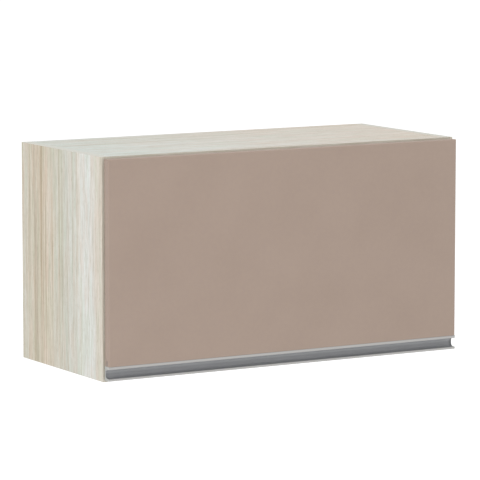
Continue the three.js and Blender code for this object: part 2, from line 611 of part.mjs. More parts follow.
/** Outer link: two cheeks on one through pin and a bridge, with a stub pin out to each cup lug. */
const outerLink = (side) => {
  const x = side * HINGE_X;
  const outline = linkOutline(CUP_OUTER_PIVOT, ARM_OUTER_PIVOT, LINK_HALF_WIDTH, OUTER_LINK_BOW);
  const cheeks = [-1, 1].map((half) =>
    alongX(outline, [x + half * LINK_CHEEK_INNER, x + half * LINK_CHEEK_OUTER]));
  const stubs = [-1, 1].map((half) => crossBar(PIN_RADIUS, CUP_OUTER_PIVOT,
    [x + half * LINK_CHEEK_INNER, x + half * (CUP_LUG_OUTER - PIN_PLAY)], PIN_SIDES));
  const bridgeAt = bowPoint(CUP_OUTER_PIVOT, ARM_OUTER_PIVOT, OUTER_LINK_BOW, LINK_BRIDGE_SHARE);
  const bridge = crossBar(PIN_RADIUS, bridgeAt, [x - LINK_CHEEK_OUTER, x + LINK_CHEEK_OUTER],
    PIN_SIDES);
  const pin = crossBar(PIN_RADIUS, ARM_OUTER_PIVOT,
    [x - ARM_CHEEK_OUTER - PIN_PLAY, x + ARM_CHEEK_OUTER + PIN_PLAY], PIN_SIDES);
  return fuse(pin, bridge, ...cheeks, ...stubs);
};

/** Inner link: one bowed plate with its two pins. */
const innerLink = (side) => {
  const x = side * HINGE_X;
  const half = INNER_LINK_HALF_THICKNESS;
  const outline = linkOutline(CUP_INNER_PIVOT, ARM_INNER_PIVOT, LINK_HALF_WIDTH, INNER_LINK_BOW);
  const armPin = crossBar(PIN_RADIUS, ARM_INNER_PIVOT,
    [x - ARM_CHEEK_OUTER - PIN_PLAY, x + ARM_CHEEK_OUTER + PIN_PLAY], PIN_SIDES);
  const cupPin = crossBar(PIN_RADIUS, CUP_INNER_PIVOT,
    [x - LINK_CHEEK_OUTER - PIN_PLAY, x + LINK_CHEEK_OUTER + PIN_PLAY], PIN_SIDES);
  return fuse(alongX(outline, [x - half, x + half]), armPin, cupPin);
};

const hingeCup = (side) => {
  const x = side * HINGE_X;
  const centre = (y) => [x, y, CUP_CENTRE_Z];
  const floor = DOOR_BACK - CUP_DEPTH;
  const faceY = DOOR_BACK + CUP_FLANGE;
  const wings = roundedRectangle(x, CUP_CENTRE_Z - CUP_WING_OFFSET, CUP_WING_SPAN,
    CUP_WING_HEIGHT, CUP_WING_HEIGHT / 3);
  const outside = fuse(bar(CUP_RADIUS, centre(floor), centre(faceY), CUP_SIDES),
    bar(CUP_FLANGE_RADIUS, centre(DOOR_BACK), centre(faceY), CUP_SIDES),
    alongY(wings, [DOOR_BACK, faceY]));
  const pocket = bar(CUP_RADIUS - CUP_WALL, centre(floor + CUP_WALL), centre(faceY + 1), CUP_SIDES);
  const [lugIn, lugUp] = CUP_OUTER_PIVOT;
  const [lugY, lugZ] = sideView([lugIn, lugUp]);
  const lugShape = new THREE.Shape();
  lugShape.moveTo(lugY + CUP_LUG_RADIUS, lugZ);
  lugShape.lineTo(lugY + CUP_LUG_RADIUS, CUP_CENTRE_Z + CUP_RADIUS);
  lugShape.lineTo(lugY - CUP_LUG_RADIUS, CUP_CENTRE_Z + CUP_RADIUS);
  lugShape.lineTo(lugY - CUP_LUG_RADIUS, lugZ);
  lugShape.absarc(lugY, lugZ, CUP_LUG_RADIUS, Math.PI, 2 * Math.PI);
  const lugs = [-1, 1].map((half) =>
    alongX(lugShape, [x + half * CUP_LUG_INNER, x + half * CUP_LUG_OUTER])
      .intersect(bar(CUP_RADIUS - CUP_WALL / 2, centre(floor), centre(faceY), CUP_SIDES)));
  const pinHole = crossBar(PIN_RADIUS + PIN_PLAY, CUP_OUTER_PIVOT,
    [x - CUP_LUG_OUTER, x + CUP_LUG_OUTER], PIN_SIDES);
  const notchHalf = LINK_CHEEK_OUTER + LINK_PLAY;
  const notch = box([x - notchHalf, x + notchHalf], [DOOR_BACK - CUP_NOTCH, faceY + 1],
    [CUP_CENTRE_Z + CUP_RADIUS - 3 * CUP_WALL, CUP_CENTRE_Z + CUP_FLANGE_RADIUS + 1]);
  return cut(fuse(cut(outside, pocket), ...lugs), pinHole, notch);
};

// ---------------------------------------------------------------- gas struts

const strutX = (side) => side * (INSIDE_HALF - STRUT_FROM_PANEL);
const strutVector = new THREE.Vector2(
  STRUT_DOOR_PIVOT[0] - STRUT_SIDE_PIVOT[0], STRUT_DOOR_PIVOT[1] - STRUT_SIDE_PIVOT[1]);
const STRUT_CLOSED = strutVector.length();

/** The point on the closed strut's axis at a distance from its ball at the side panel. */
const strutPoint = (side, distance) => {
  const share = distance / STRUT_CLOSED;
  return [strutX(side), ...sideView([
    STRUT_SIDE_PIVOT[0] + strutVector.x * share, STRUT_SIDE_PIVOT[1] + strutVector.y * share])];
};

/** A ball socket: a cup across the axis and a shank along it, from one end to the strut. */
const socketBody = (side, ballAt, shankEnd) => fuse(
  bar(SOCKET_RADIUS, ...[-1, 1].map((half) => {
    const [x, y, z] = strutPoint(side, ballAt);
    return [x + half * SOCKET_HALF_LENGTH, y, z];
  }), SOCKET_SIDES),
  bar(SOCKET_SHANK_RADIUS, strutPoint(side, ballAt), strutPoint(side, shankEnd)));

const TUBE_START = SOCKET_SHANK + TUBE_FROM_ROD_SOCKET;
const TUBE_END = STRUT_CLOSED - SOCKET_SHANK;
const ROD_END = TUBE_START + STRUT_STROKE + TUBE_GUIDE + PISTON_LENGTH + PISTON_PLAY;

const sideBracket = (side) => {
  const [y, z] = sideView(STRUT_SIDE_PIVOT);
  const x = strutX(side);
  const plate = alongX(roundedRectangle(y, z, ...SIDE_BRACKET_SIZE, BRACKET_CORNER),
    [side * (INSIDE_HALF - BRACKET), side * INSIDE_HALF]);
  return fuse(plate, bar(BALL_NECK_RADIUS, [x, y, z], [side * (INSIDE_HALF - BRACKET / 2), y, z]),
    ball(BALL_RADIUS, [x, y, z]));
};

const rodSocket = (side) => {
  const [x, y, z] = strutPoint(side, 0);
  const mouth = bar(BALL_NECK_RADIUS + 3 * FIT, [x, y, z], [x + side * 2 * SOCKET_HALF_LENGTH, y, z]);
  const thread = bar(ROD_RADIUS + FIT, strutPoint(side, SOCKET_SHANK - ROD_THREAD - FIT),
    strutPoint(side, SOCKET_SHANK + 1));
  return cut(socketBody(side, 0, SOCKET_SHANK), ball(BALL_RADIUS + FIT, [x, y, z]), mouth, thread);
};

/** The polished rod with the piston on its inner end. */
const strutRod = (side) => {
  const bore = TUBE_RADIUS - TUBE_WALL - FIT;
  const start = SOCKET_SHANK - ROD_THREAD;
  const length = ROD_END - start;
  return turned([[0, 0], [ROD_RADIUS, 0], [ROD_RADIUS, length - PISTON_LENGTH],
    [bore, length - PISTON_LENGTH], [bore, length], [0, length]],
  strutPoint(side, start), strutPoint(side, ROD_END));
};

/** The pressure tube: closed at its cap, open round the rod at its guide. */
const strutTube = (side) => {
  const length = TUBE_END - TUBE_START;
  const inside = TUBE_RADIUS - TUBE_WALL;
  const chamfer = TUBE_WALL;
  const profile = [
    [ROD_RADIUS + FIT, 0], [TUBE_RADIUS - chamfer, 0], [TUBE_RADIUS, chamfer],
    [TUBE_RADIUS, length - chamfer], [TUBE_RADIUS - chamfer, length],
    [ROD_RADIUS, length], [ROD_RADIUS, length + ROD_THREAD], [0, length + ROD_THREAD],
    [0, length - TUBE_CAP], [inside, length - TUBE_CAP], [inside, TUBE_GUIDE],
    [ROD_RADIUS + FIT, TUBE_GUIDE], [ROD_RADIUS + FIT, 0]];
  return turned(profile, strutPoint(side, TUBE_START), strutPoint(side, TUBE_END));
};

const tubeSocket = (side) => cut(socketBody(side, STRUT_CLOSED, TUBE_END),
  bar(ROD_RADIUS + FIT, strutPoint(side, TUBE_END - 1),
    strutPoint(side, TUBE_END + ROD_THREAD + FIT)));

/** The door's bracket: a base on the door and a flange that carries the stud. */
const doorBracket = (side) => {
  const [width, height] = DOOR_BRACKET_SIZE;
  const flangeOuter = INSIDE_HALF - DOOR_BRACKET_SHIFT;
  const [y, z] = sideView(STRUT_DOOR_PIVOT);
  const outline = roundedRectangle(side * (flangeOuter - width / 2), z, width, height, BRACKET_CORNER);
  const base = alongY(outline, [DOOR_BACK, DOOR_BACK + BRACKET]);
  const flange = new THREE.Shape();
  const half = DOOR_BRACKET_FLANGE / 2;
  flange.moveTo(DOOR_BACK, z - half);
  flange.lineTo(y, z - half);
  flange.absarc(y, z, half, -Math.PI / 2, Math.PI / 2);
  flange.lineTo(DOOR_BACK, z + half);
  const stud = bar(BALL_NECK_RADIUS, [side * (flangeOuter - BRACKET / 2), y, z],
    [strutX(side) + side * (SOCKET_HALF_LENGTH + FIT), y, z]);
  return fuse(base, alongX(flange, [side * (flangeOuter - BRACKET), side * flangeOuter]), stud);
};

// ---------------------------------------------------------------- assembly

const cabinet = new THREE.Group();
const frame = new THREE.Group();
frame.position.z = -(CABINET_HEIGHT - BOARD / 2);
cabinet.add(frame);

const place = (name, solid, material) => {
  const { vertProperties, triVerts } = solid.getMesh();
  const geometry = new THREE.BufferGeometry();
  geometry.setAttribute('position', new THREE.BufferAttribute(vertProperties, 3));
  geometry.setIndex(new THREE.BufferAttribute(triVerts, 1));
  geometry.computeVertexNormals();
  const mesh = new THREE.Mesh(geometry, material);
  mesh.name = name;
  frame.add(mesh);
};

const BAND_X = [-INSIDE_HALF, INSIDE_HALF];
place('top_panel', crossPanel(LEVELS.top), MATERIALS.oakBoard);
place('bottom_panel', crossPanel(LEVELS.bottom), MATERIALS.oakBoard);
place('back_panel', backPanel(), MATERIALS.fibreboard);
place('top_edge_band', edgeBand(BAND_X, [INSIDE_TOP, CABINET_HEIGHT]), MATERIALS.oakBoard);
place('bottom_edge_band', edgeBand(BAND_X, [0, BOARD]), MATERIALS.oakBoard);
place('door_panel', doorPanel(), MATERIALS.taupeLacquer);
place('handle_profile', handleProfile(), MATERIALS.aluminium);

for (const [name, side] of Object.entries(SIDES)) {
  place(`${name}_side_panel`, sidePanel(side), MATERIALS.oakBoard);
  place(`${name}_side_edge_band`,
    edgeBand([side * INSIDE_HALF, side * HALF_WIDTH], [0, CABINET_HEIGHT]), MATERIALS.oakBoard);
  place(`${name}_hanger_housing`, hangerHousing(side), MATERIALS.greyPlastic);
  place(`${name}_hanger_hook`, hangerHook(side), MATERIALS.plated);
  place(`${name}_hinge_plate`, hingePlate(side), MATERIALS.plated);
  place(`${name}_hinge_arm`, hingeArm(side), MATERIALS.plated);
  place(`${name}_outer_link`, outerLink(side), MATERIALS.steel);
  place(`${name}_inner_link`, innerLink(side), MATERIALS.steel);
  place(`${name}_hinge_cup`, hingeCup(side), MATERIALS.plated);
  place(`${name}_strut_side_bracket`, sideBracket(side), MATERIALS.plated);
  place(`${name}_strut_rod_socket`, rodSocket(side), MATERIALS.blackPlastic);
  place(`${name}_strut_rod`, strutRod(side), MATERIALS.steel);
  place(`${name}_strut_tube`, strutTube(side), MATERIALS.tubeCoat);
  place(`${name}_strut_tube_socket`, tubeSocket(side), MATERIALS.blackPlastic);
  place(`${name}_strut_door_bracket`, doorBracket(side), MATERIALS.plated);
  place(`${name}_door_bumper`, doorBumper(side), MATERIALS.clearRubber);

  for (const [levelName, level] of Object.entries(LEVELS)) {
    place(`${name}_${levelName}_dowel`, dowel(side, level), MATERIALS.beech);
    for (const [placeName, y] of Object.entries(CAM_PLACES)) {
      place(`${name}_${levelName}_${placeName}_cam`, camLock(side, level, y), MATERIALS.steel);
      place(`${name}_${levelName}_${placeName}_bolt`, camBolt(side, level, y), MATERIALS.plated);
    }
  }
}

export default cabinet;
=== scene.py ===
# %% [markdown]
# # A lift up wall cabinet, dressed in Blender
#
# The real object is a kitchen wall unit: a carcass of whitewashed oak melamine board, one wide
# flap door in matt taupe lacquer, and an aluminium channel along the door's lower edge that the
# fingers pull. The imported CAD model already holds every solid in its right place, so this lesson
# loads it as a fixed frame and adds what CAD leaves out: finishes, fine rounding and fasteners.

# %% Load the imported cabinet
import json
import math

import bmesh
import bpy
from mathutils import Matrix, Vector

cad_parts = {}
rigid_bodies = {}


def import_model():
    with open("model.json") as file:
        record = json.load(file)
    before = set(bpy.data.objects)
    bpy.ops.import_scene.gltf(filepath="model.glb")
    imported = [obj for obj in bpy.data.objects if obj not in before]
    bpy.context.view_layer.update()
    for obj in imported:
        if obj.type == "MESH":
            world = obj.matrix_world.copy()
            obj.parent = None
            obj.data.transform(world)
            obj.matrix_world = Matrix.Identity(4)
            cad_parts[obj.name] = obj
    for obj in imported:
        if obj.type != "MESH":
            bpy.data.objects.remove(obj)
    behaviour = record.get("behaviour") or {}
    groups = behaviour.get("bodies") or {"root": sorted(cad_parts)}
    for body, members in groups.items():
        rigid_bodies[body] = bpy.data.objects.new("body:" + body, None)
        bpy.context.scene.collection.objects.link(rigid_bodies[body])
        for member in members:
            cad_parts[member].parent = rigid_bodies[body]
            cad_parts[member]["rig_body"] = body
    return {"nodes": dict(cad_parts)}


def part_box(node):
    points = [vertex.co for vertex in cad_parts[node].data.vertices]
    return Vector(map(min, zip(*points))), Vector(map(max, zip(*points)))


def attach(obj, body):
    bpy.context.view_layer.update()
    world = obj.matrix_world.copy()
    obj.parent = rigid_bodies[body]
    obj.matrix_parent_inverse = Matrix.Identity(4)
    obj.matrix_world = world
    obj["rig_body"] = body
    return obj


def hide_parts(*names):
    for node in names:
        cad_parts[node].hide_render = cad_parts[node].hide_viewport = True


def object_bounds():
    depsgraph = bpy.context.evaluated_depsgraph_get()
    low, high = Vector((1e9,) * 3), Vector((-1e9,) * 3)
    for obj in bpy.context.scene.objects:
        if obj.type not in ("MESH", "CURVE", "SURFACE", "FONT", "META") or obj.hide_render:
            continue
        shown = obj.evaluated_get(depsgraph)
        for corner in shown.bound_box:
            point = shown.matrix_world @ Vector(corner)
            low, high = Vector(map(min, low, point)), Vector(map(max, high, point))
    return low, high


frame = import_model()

cad_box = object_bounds()
print("CAD box in mm:", [round(1000 * side) for side in cad_box[1] - cad_box[0]])

# %% [markdown]
# Blender measures in metres and mixes light in linear colour. A cabinet maker thinks in
# millimetres, and a paint swatch is an sRGB hex value, so two small helpers translate both. They
# keep every number below readable as something that could be measured on the real cabinet.

# %% Millimetres and colours
MM = 0.001
X, Y, Z = 0, 1, 2
SIDES = {"left": -1, "right": 1}


def linear(hex_colour):
    """An sRGB hex value as the linear colour that Blender's nodes expect."""
    parts = [int(hex_colour[i:i + 2], 16) / 255 for i in (1, 3, 5)]
    return [p / 12.92 if p <= 0.04045 else ((p + 0.055) / 1.055) ** 2.4 for p in parts] + [1.0]


def millimetres(*point):
    return Vector(point) * MM


print("taupe in linear light:", [round(part, 3) for part in linear("#AB978A")])

# %% [markdown]
# The photograph looks at the cabinet from the left and a little above, from several metres away
# with a long lens, so the edges hardly converge. The camera below was fitted to the eight corners
# that can be seen. `YAW` turns it about the vertical, `PITCH` tilts it down, both in degrees.

# %% Camera
CAMERA_PLACE = (-2.9143, -5.1855, 0.5727)
YAW = 30.084
PITCH = -7.281
LENS = 249.58


def add_object(name, data):
    """Puts an object with this mesh, lamp or camera into the scene."""
    thing = bpy.data.objects.new(name, data)
    bpy.context.scene.collection.objects.link(thing)
    return thing


camera = add_object("camera", bpy.data.cameras.new("camera"))
camera.data.lens = LENS
camera.data.sensor_width = 36
camera.location = CAMERA_PLACE
camera.rotation_euler = (math.radians(90 + PITCH), 0, math.radians(-YAW))
bpy.context.scene.camera = camera
print("camera stands", round(Vector(CAMERA_PLACE).length, 2), "m from the cabinet")

# %% [markdown]
# A world, a material and a Geometry Nodes modifier are all trees of nodes. One small function adds
# a node, sets it up and links it to the nodes before it, so each tree below reads from its inputs
# to its output.

# %% Add a node
def add_node(tree, kind, inputs=None, stops=None, **settings):
    """Adds a node, sets its settings, and links or sets its inputs. `stops` fills a colour ramp."""
    node = tree.nodes.new(kind)
    for name, value in settings.items():
        setattr(node, name, value)
    for socket, value in (inputs or {}).items():
        if isinstance(value, bpy.types.NodeSocket):
            tree.links.new(value, node.inputs[socket])
        else:
            node.inputs[socket].default_value = value
    if stops:
        elements = node.color_ramp.elements
        while len(elements) < len(stops):
            elements.new(1.0)
        for element, (place, colour) in zip(elements, stops):
            element.position = place
            element.color = linear(colour)
    return node


print("nodes can be added with their settings, links and colours")

# %% [markdown]
# A studio shot of a pale cabinet needs light that is soft and even, so that the board keeps its
# own colour. Most of it comes from the world, which is the same from all sides. What the camera
# sees of the world is plain white, and so is what metal mirrors or clear plastic shows, but the
# light on the object is not raised for that: the Light Path node tells the rays apart. The
# Standard view transform shows each colour as it was mixed.

# %% White studio
WORLD_LIGHT = 0.74


def backdrop_rays(tree):
    """One for rays that show the backdrop: the camera's, mirrored ones and ones through glass."""
    path = add_node(tree, "ShaderNodeLightPath")
    shown = path.outputs["Is Camera Ray"]
    for kind in ("Is Transmission Ray", "Is Glossy Ray"):
        shown = add_node(tree, "ShaderNodeMath", {0: shown, 1: path.outputs[kind]},
                         operation="MAXIMUM").outputs[0]
    return shown


bpy.context.scene.view_settings.view_transform = "Standard"
world = bpy.data.worlds.new("white_studio")
world.use_nodes = True
tree = world.node_tree
tree.nodes.clear()
soft = add_node(tree, "ShaderNodeBackground", {"Color": linear("#FFFFFF"), "Strength": WORLD_LIGHT})
white = add_node(tree, "ShaderNodeBackground", {"Color": linear("#FFFFFF"), "Strength": 1.0})
mixed = add_node(tree, "ShaderNodeMixShader", {0: backdrop_rays(tree), 1: soft.outputs[0],
                                               2: white.outputs[0]})
add_node(tree, "ShaderNodeOutputWorld", {"Surface": mixed.outputs[0]})
bpy.context.scene.world = world
print("light from all sides:", WORLD_LIGHT)

# %% [markdown]
# Light from all sides alone would give every face the same value. Large lamps at the front left,
# at the left and above tell the faces apart, and their size keeps the shadows soft. All three aim
# at the middle of the cabinet.

# %% Lamps
LAMP_AIM = Vector((0, -0.15, -0.18))
LAMPS = {
    "front_lamp": {"at": (-2.6, -3.6, 2.0), "size": 2.4, "watts": 41},
    "left_lamp": {"at": (-3.9, -1.0, 1.2), "size": 2.0, "watts": 12},
    "top_lamp": {"at": (0.5, -0.8, 3.2), "size": 2.6, "watts": 11},
}
for name, lamp in LAMPS.items():
    holder = add_object(name, bpy.data.lights.new(name, "AREA"))
    holder.data.energy = lamp["watts"]
    holder.data.size = lamp["size"]
    holder.location = lamp["at"]
    aim = LAMP_AIM - Vector(lamp["at"])
    holder.rotation_euler = aim.to_track_quat("-Z", "Y").to_euler()
print("lamps:", ", ".join(LAMPS))

# %% [markdown]
# The cabinet hangs on a wall, so the floor lies well below it. It is a plain pale sheet. The
# camera sees it a little brighter than it is, through a faint glow that only camera, mirror and
# glass rays meet, so it turns white but still shows a shadow.

# %% Floor
FLOOR_BELOW = 0.55
FLOOR_HALF = 30.0
FLOOR_GLOW = 0.45

floor_mesh = bpy.data.meshes.new("floor")
floor_z = cad_box[0].z - FLOOR_BELOW
floor_mesh.from_pydata([(x * FLOOR_HALF, y * FLOOR_HALF, floor_z)
                        for x, y in ((-1, -1), (1, -1), (1, 1), (-1, 1))], [], [(0, 1, 2, 3)])
paper = bpy.data.materials.new("pale_paper_floor")
paper.use_nodes = True
tree = paper.node_tree
tree.nodes.clear()
glow = add_node(tree, "ShaderNodeMath", {0: backdrop_rays(tree), 1: FLOOR_GLOW},
                operation="MULTIPLY")
sheet = add_node(tree, "ShaderNodeBsdfDiffuse", {"Color": linear("#F2F2F2")})
lit = add_node(tree, "ShaderNodeEmission", {"Strength": glow.outputs[0]})
both = add_node(tree, "ShaderNodeAddShader", {0: sheet.outputs[0], 1: lit.outputs[0]})
add_node(tree, "ShaderNodeOutputMaterial", {"Surface": both.outputs[0]})
floor_mesh.materials.append(paper)
floor = add_object("floor", floor_mesh)
print("floor at", round(floor_z, 3), "m")

# %% [markdown]
# ## Finishes
#
# Every finish starts the same way: a new material whose shader is the Principled BSDF, and the
# object's own coordinates in metres to draw a pattern in. The pieces' meshes hold their real
# place, so one pattern runs through the whole cabinet at one scale. Every finish also ends the
# same way: its colour and a shallow relief go to the shader, and its gloss where that varies.

# %% Start and finish a material
def start_material(name, roughness, metallic=0.0):
    """A new material: its node tree, its shader and the coordinates of the object."""
    material = bpy.data.materials.new(name)
    material.use_nodes = True
    tree = material.node_tree
    shader = tree.nodes["Principled BSDF"]
    shader.inputs["Roughness"].default_value = roughness
    shader.inputs["Metallic"].default_value = metallic
    place = add_node(tree, "ShaderNodeTexCoord").outputs["Object"]
    return material, tree, shader, place


def finish_material(tree, shader, colour, relief, **others):
    """Joins a pattern to the shader. `relief` is (height, strength, depth in mm), and `others`
    are linked to the sockets that they are named for."""
    height, strength, depth = relief
    bump = add_node(tree, "ShaderNodeBump", {"Strength": strength, "Distance": depth * MM,
                                             "Height": height})
    tree.links.new(colour, shader.inputs["Base Color"])
    tree.links.new(bump.outputs[0], shader.inputs["Normal"])
    for socket, value in others.items():
        tree.links.new(value, shader.inputs[socket])


print("every finish reads the object's own coordinates in metres")

# %% [markdown]
# The carcass is particle board faced with printed melamine: a whitewashed oak. A picture of wood
# could be wrapped round the boards, but a pattern of noise needs no picture and stays sharp in a
# close-up. Grain is long and thin, so each layer of the print is a noise texture squeezed across
# the grain and stretched along it. Streaks some millimetres wide run nearly the whole board,
# fibres a little narrower are a finger long, hairs are finer still, and short dark dashes are the
# pores. A last layer shifts the hue a little between green and pink, which keeps the pale wood
# from looking grey.

# %% Layers of the wood print
OAK_LAYERS = {                 # millimetres across the grain and along it, noise detail, shades
    "streak": (5.5, 600, 2.0, [(0.32, "#E3DBCD"), (0.43, "#F5F2EC"), (0.55, "#FFFFFF")]),
    "fibre": (3.4, 60, 3.0, [(0.30, "#E8E5DF"), (0.45, "#F6F5F2"), (0.62, "#FFFFFF")]),
    "hair": (1.6, 26, 3.0, [(0.30, "#EEECE7"), (0.60, "#FFFFFF")]),
    "pore": (0.9, 12, 2.0, [(0.58, "#FFFFFF"), (0.74, "#DCD4C8")]),
    "tint": (14.0, 90, 1.0, [(0.34, "#FAFEFB"), (0.50, "#FFFFFF"), (0.66, "#FFFAF7")]),
}
NEXT_LAYER = 3.7               # what is added to the seed, so that no two layers look alike
SEED_WAY = (1.0, 1.3, -0.7)    # which way a seed moves the noise
WOOD_ROUGHNESS = 0.6           # how much the fine detail of the noise counts in wood


def squeezed_noise(tree, place, grain, across, along, detail, seed=0.0, roughness=0.5):
    """Noise that is `across` millimetres wide and `along` millimetres long."""
    scale = [1 / (across * MM)] * 3
    scale[grain] = 1 / (along * MM)
    squeezed = add_node(tree, "ShaderNodeMapping", {
        "Vector": place, "Scale": scale, "Location": [seed * way for way in SEED_WAY]})
    return add_node(tree, "ShaderNodeTexNoise", {
        "Vector": squeezed.outputs[0], "Scale": 1.0, "Detail": detail,
        "Roughness": roughness}).outputs["Fac"]


print("oak layers:", ", ".join(OAK_LAYERS))

# %% [markdown]
# The print is one plank, photographed and repeated, so under the layers lies its figure: broad
# bands of warm cream and cool off-white, side by side across the board, whose borders waver. A
# colour ramp holds the bands, and each layer multiplies the colour below it. Where a figure
# starts, the streaks may be calmer. The fibres also drive the gloss and a shallow relief, because
# the melamine is pressed with a grain of its own.

# %% Whitewashed oak melamine
FIGURE_SIZE = (34, 900)        # how far the figure's borders waver, across and along the grain
FIGURE_WAVER = 0.30
CALM_PART = (0.15, 0.60)       # where in the figure the streaks grow from calm to full
CUT_EDGE = 0.4                 # the strip on a cut edge of a side panel, in mm
PLAIN_STRIP = "#D6D5CB"


def whitewashed_oak(name, grain, figure, seed, calm=1.0, cut_edges=None):
    """Melamine board with its grain along one axis. `figure` is (axis, from, to, colours), and
    `calm` is how much of the streaks is left where the figure starts."""
    material, tree, shader, place = start_material(name, roughness=0.62)
    axis, start, end, colours = figure
    parts = add_node(tree, "ShaderNodeSeparateXYZ", {0: place})
    step = add_node(tree, "ShaderNodeMapRange", {
        "Value": parts.outputs[axis], "From Min": start, "From Max": end,
        "To Min": -FIGURE_WAVER / 2, "To Max": 1 - FIGURE_WAVER / 2}, clamp=False).outputs[0]
    waver = squeezed_noise(tree, place, grain, *FIGURE_SIZE, 1.0, seed, WOOD_ROUGHNESS)
    step = add_node(tree, "ShaderNodeMath", {0: waver, 1: FIGURE_WAVER, 2: step},
                    operation="MULTIPLY_ADD").outputs[0]
    board = add_node(tree, "ShaderNodeValToRGB", {0: step}, stops=colours).outputs[0]
    calmer = add_node(tree, "ShaderNodeMapRange", {
        "Value": step, "From Min": CALM_PART[0], "From Max": CALM_PART[1],
        "To Min": calm, "To Max": 1.0}).outputs[0]

    noise = {}
    for layer, (across, along, detail, shades) in OAK_LAYERS.items():
        seed += NEXT_LAYER
        noise[layer] = squeezed_noise(tree, place, grain, across, along, detail, seed,
                                      WOOD_ROUGHNESS)
        shade = add_node(tree, "ShaderNodeValToRGB", {0: noise[layer]}, stops=shades).outputs[0]
        amount = calmer if layer == "streak" else 1.0
        board = add_node(tree, "ShaderNodeMix", {0: amount, 6: board, 7: shade},
                         data_type="RGBA", blend_type="MULTIPLY").outputs[2]
    for limit, way in zip(cut_edges or (), ("LESS_THAN", "GREATER_THAN")):
        edge = add_node(tree, "ShaderNodeMath", {0: parts.outputs[grain], 1: limit},
                        operation=way).outputs[0]
        board = add_node(tree, "ShaderNodeMix", {0: edge, 6: board, 7: linear(PLAIN_STRIP)},
                         data_type="RGBA").outputs[2]
    gloss = add_node(tree, "ShaderNodeMapRange", {
        "Value": noise["fibre"], "To Min": 0.52, "To Max": 0.72}).outputs[0]
    finish_material(tree, shader, board, (noise["fibre"], 0.35, 0.06), Roughness=gloss)
    return material


print("the figure's borders waver over", FIGURE_SIZE[0], "mm")

# %% [markdown]
# The print turns with the board: the sides have an upright grain, the top and bottom a grain that
# runs from side to side. So there are two materials, each with its own bands, placed as shares of
# the board's depth or width. On the sides the bands run from the front, which is pale and quiet,
# to the back, where a thin dark line is drawn as well. The sides' cut ends at top and bottom carry
# a plain strip.

# %% Upright and level oak
CARCASS_LOW, CARCASS_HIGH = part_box("left_side_panel")
SIDE_FIGURE = (Y, CARCASS_LOW.y, CARCASS_HIGH.y, [
    (0.00, "#E9E1D7"), (0.07, "#EAE4DA"), (0.15, "#EFF1EF"), (0.25, "#EFEFEA"),
    (0.40, "#E0E1DA"), (0.55, "#E2E0D5"), (0.68, "#E6DCCE"), (0.78, "#DFD5C5"),
    (0.85, "#E2D9CA"), (0.868, "#CFC5B4"), (0.89, "#DED5C5"), (0.95, "#E6DED0"),
    (1.00, "#E2E0D6")])
TOP_FIGURE = (X, CARCASS_LOW.x, -CARCASS_LOW.x, [
    (0.0, "#E3EBEA"), (0.3, "#E7E9E6"), (0.5, "#E7E5E0"), (1.0, "#EAE2DA")])
upright_oak = whitewashed_oak(
    "whitewashed_oak_upright", Z, SIDE_FIGURE, seed=4.0, calm=0.3,
    cut_edges=(CARCASS_LOW.z + CUT_EDGE * MM, CARCASS_HIGH.z - CUT_EDGE * MM))
level_oak = whitewashed_oak("whitewashed_oak_level", X, TOP_FIGURE, seed=11.0)
print("oak boards:", upright_oak.name, level_oak.name)

# %% [markdown]
# The edging is a thin strip of the same print, glued on the front edges. Its pattern is so narrow
# there that only the fine fibre shows, so it gets its own material with a little less figure and
# the satin surface that such strips have after trimming.

# %% Oak edging
EDGING_FIBRE = (1.4, 50)       # across the grain and along it


def oak_edging(name, grain):
    material, tree, shader, place = start_material(name, roughness=0.5)
    fibre = squeezed_noise(tree, place, grain, *EDGING_FIBRE, detail=3.0)
    strip = add_node(tree, "ShaderNodeValToRGB", {0: fibre}, stops=[
        (0.32, "#BFB6A5"), (0.5, "#CFC8B9"), (0.7, "#DBD8CD")]).outputs[0]
    finish_material(tree, shader, strip, (fibre, 0.3, 0.05))
    return material


upright_edging = oak_edging("oak_edging_upright", Z)
level_edging = oak_edging("oak_edging_level", X)
print("edging strips:", upright_edging.name, level_edging.name)

# %% [markdown]
# The door is sprayed with a matt taupe lacquer. Matt paint has no mirror image, but it is never
# one flat colour: the spray lies in soft clouds some centimetres wide, its skin has a fine
# orange peel of about a millimetre, and the gloss varies a little with it.

# %% Taupe lacquer
LACQUER_LAYERS = {             # size in millimetres, noise detail
    "cloud": (90, 2.0), "mottle": (7, 3.0), "peel": (1.1, 2.0),
}


def taupe_lacquer():
    material, tree, shader, place = start_material("matt_taupe_lacquer", roughness=0.5)
    noise = {}
    for layer, (size, detail) in LACQUER_LAYERS.items():
        noise[layer] = add_node(tree, "ShaderNodeTexNoise", {
            "Vector": place, "Scale": 1 / (size * MM), "Detail": detail}).outputs["Fac"]
    clouds = add_node(tree, "ShaderNodeValToRGB", {0: noise["cloud"]}, stops=[
        (0.3, "#A79386"), (0.5, "#AB978A"), (0.7, "#AE9A8D")]).outputs[0]
    mottle = add_node(tree, "ShaderNodeValToRGB", {0: noise["mottle"]}, stops=[
        (0.3, "#A99589"), (0.5, "#AB9789"), (0.7, "#AD998B")]).outputs[0]
    paint = add_node(tree, "ShaderNodeMix", {0: 0.5, 6: clouds, 7: mottle},
                     data_type="RGBA").outputs[2]
    gloss = add_node(tree, "ShaderNodeMapRange", {"Value": noise["mottle"], "To Min": 0.46,
                                                  "To Max": 0.56}).outputs[0]
    finish_material(tree, shader, paint, (noise["peel"], 0.12, 0.03), Roughness=gloss)
    return material


lacquer = taupe_lacquer()
print("door finish:", lacquer.name)
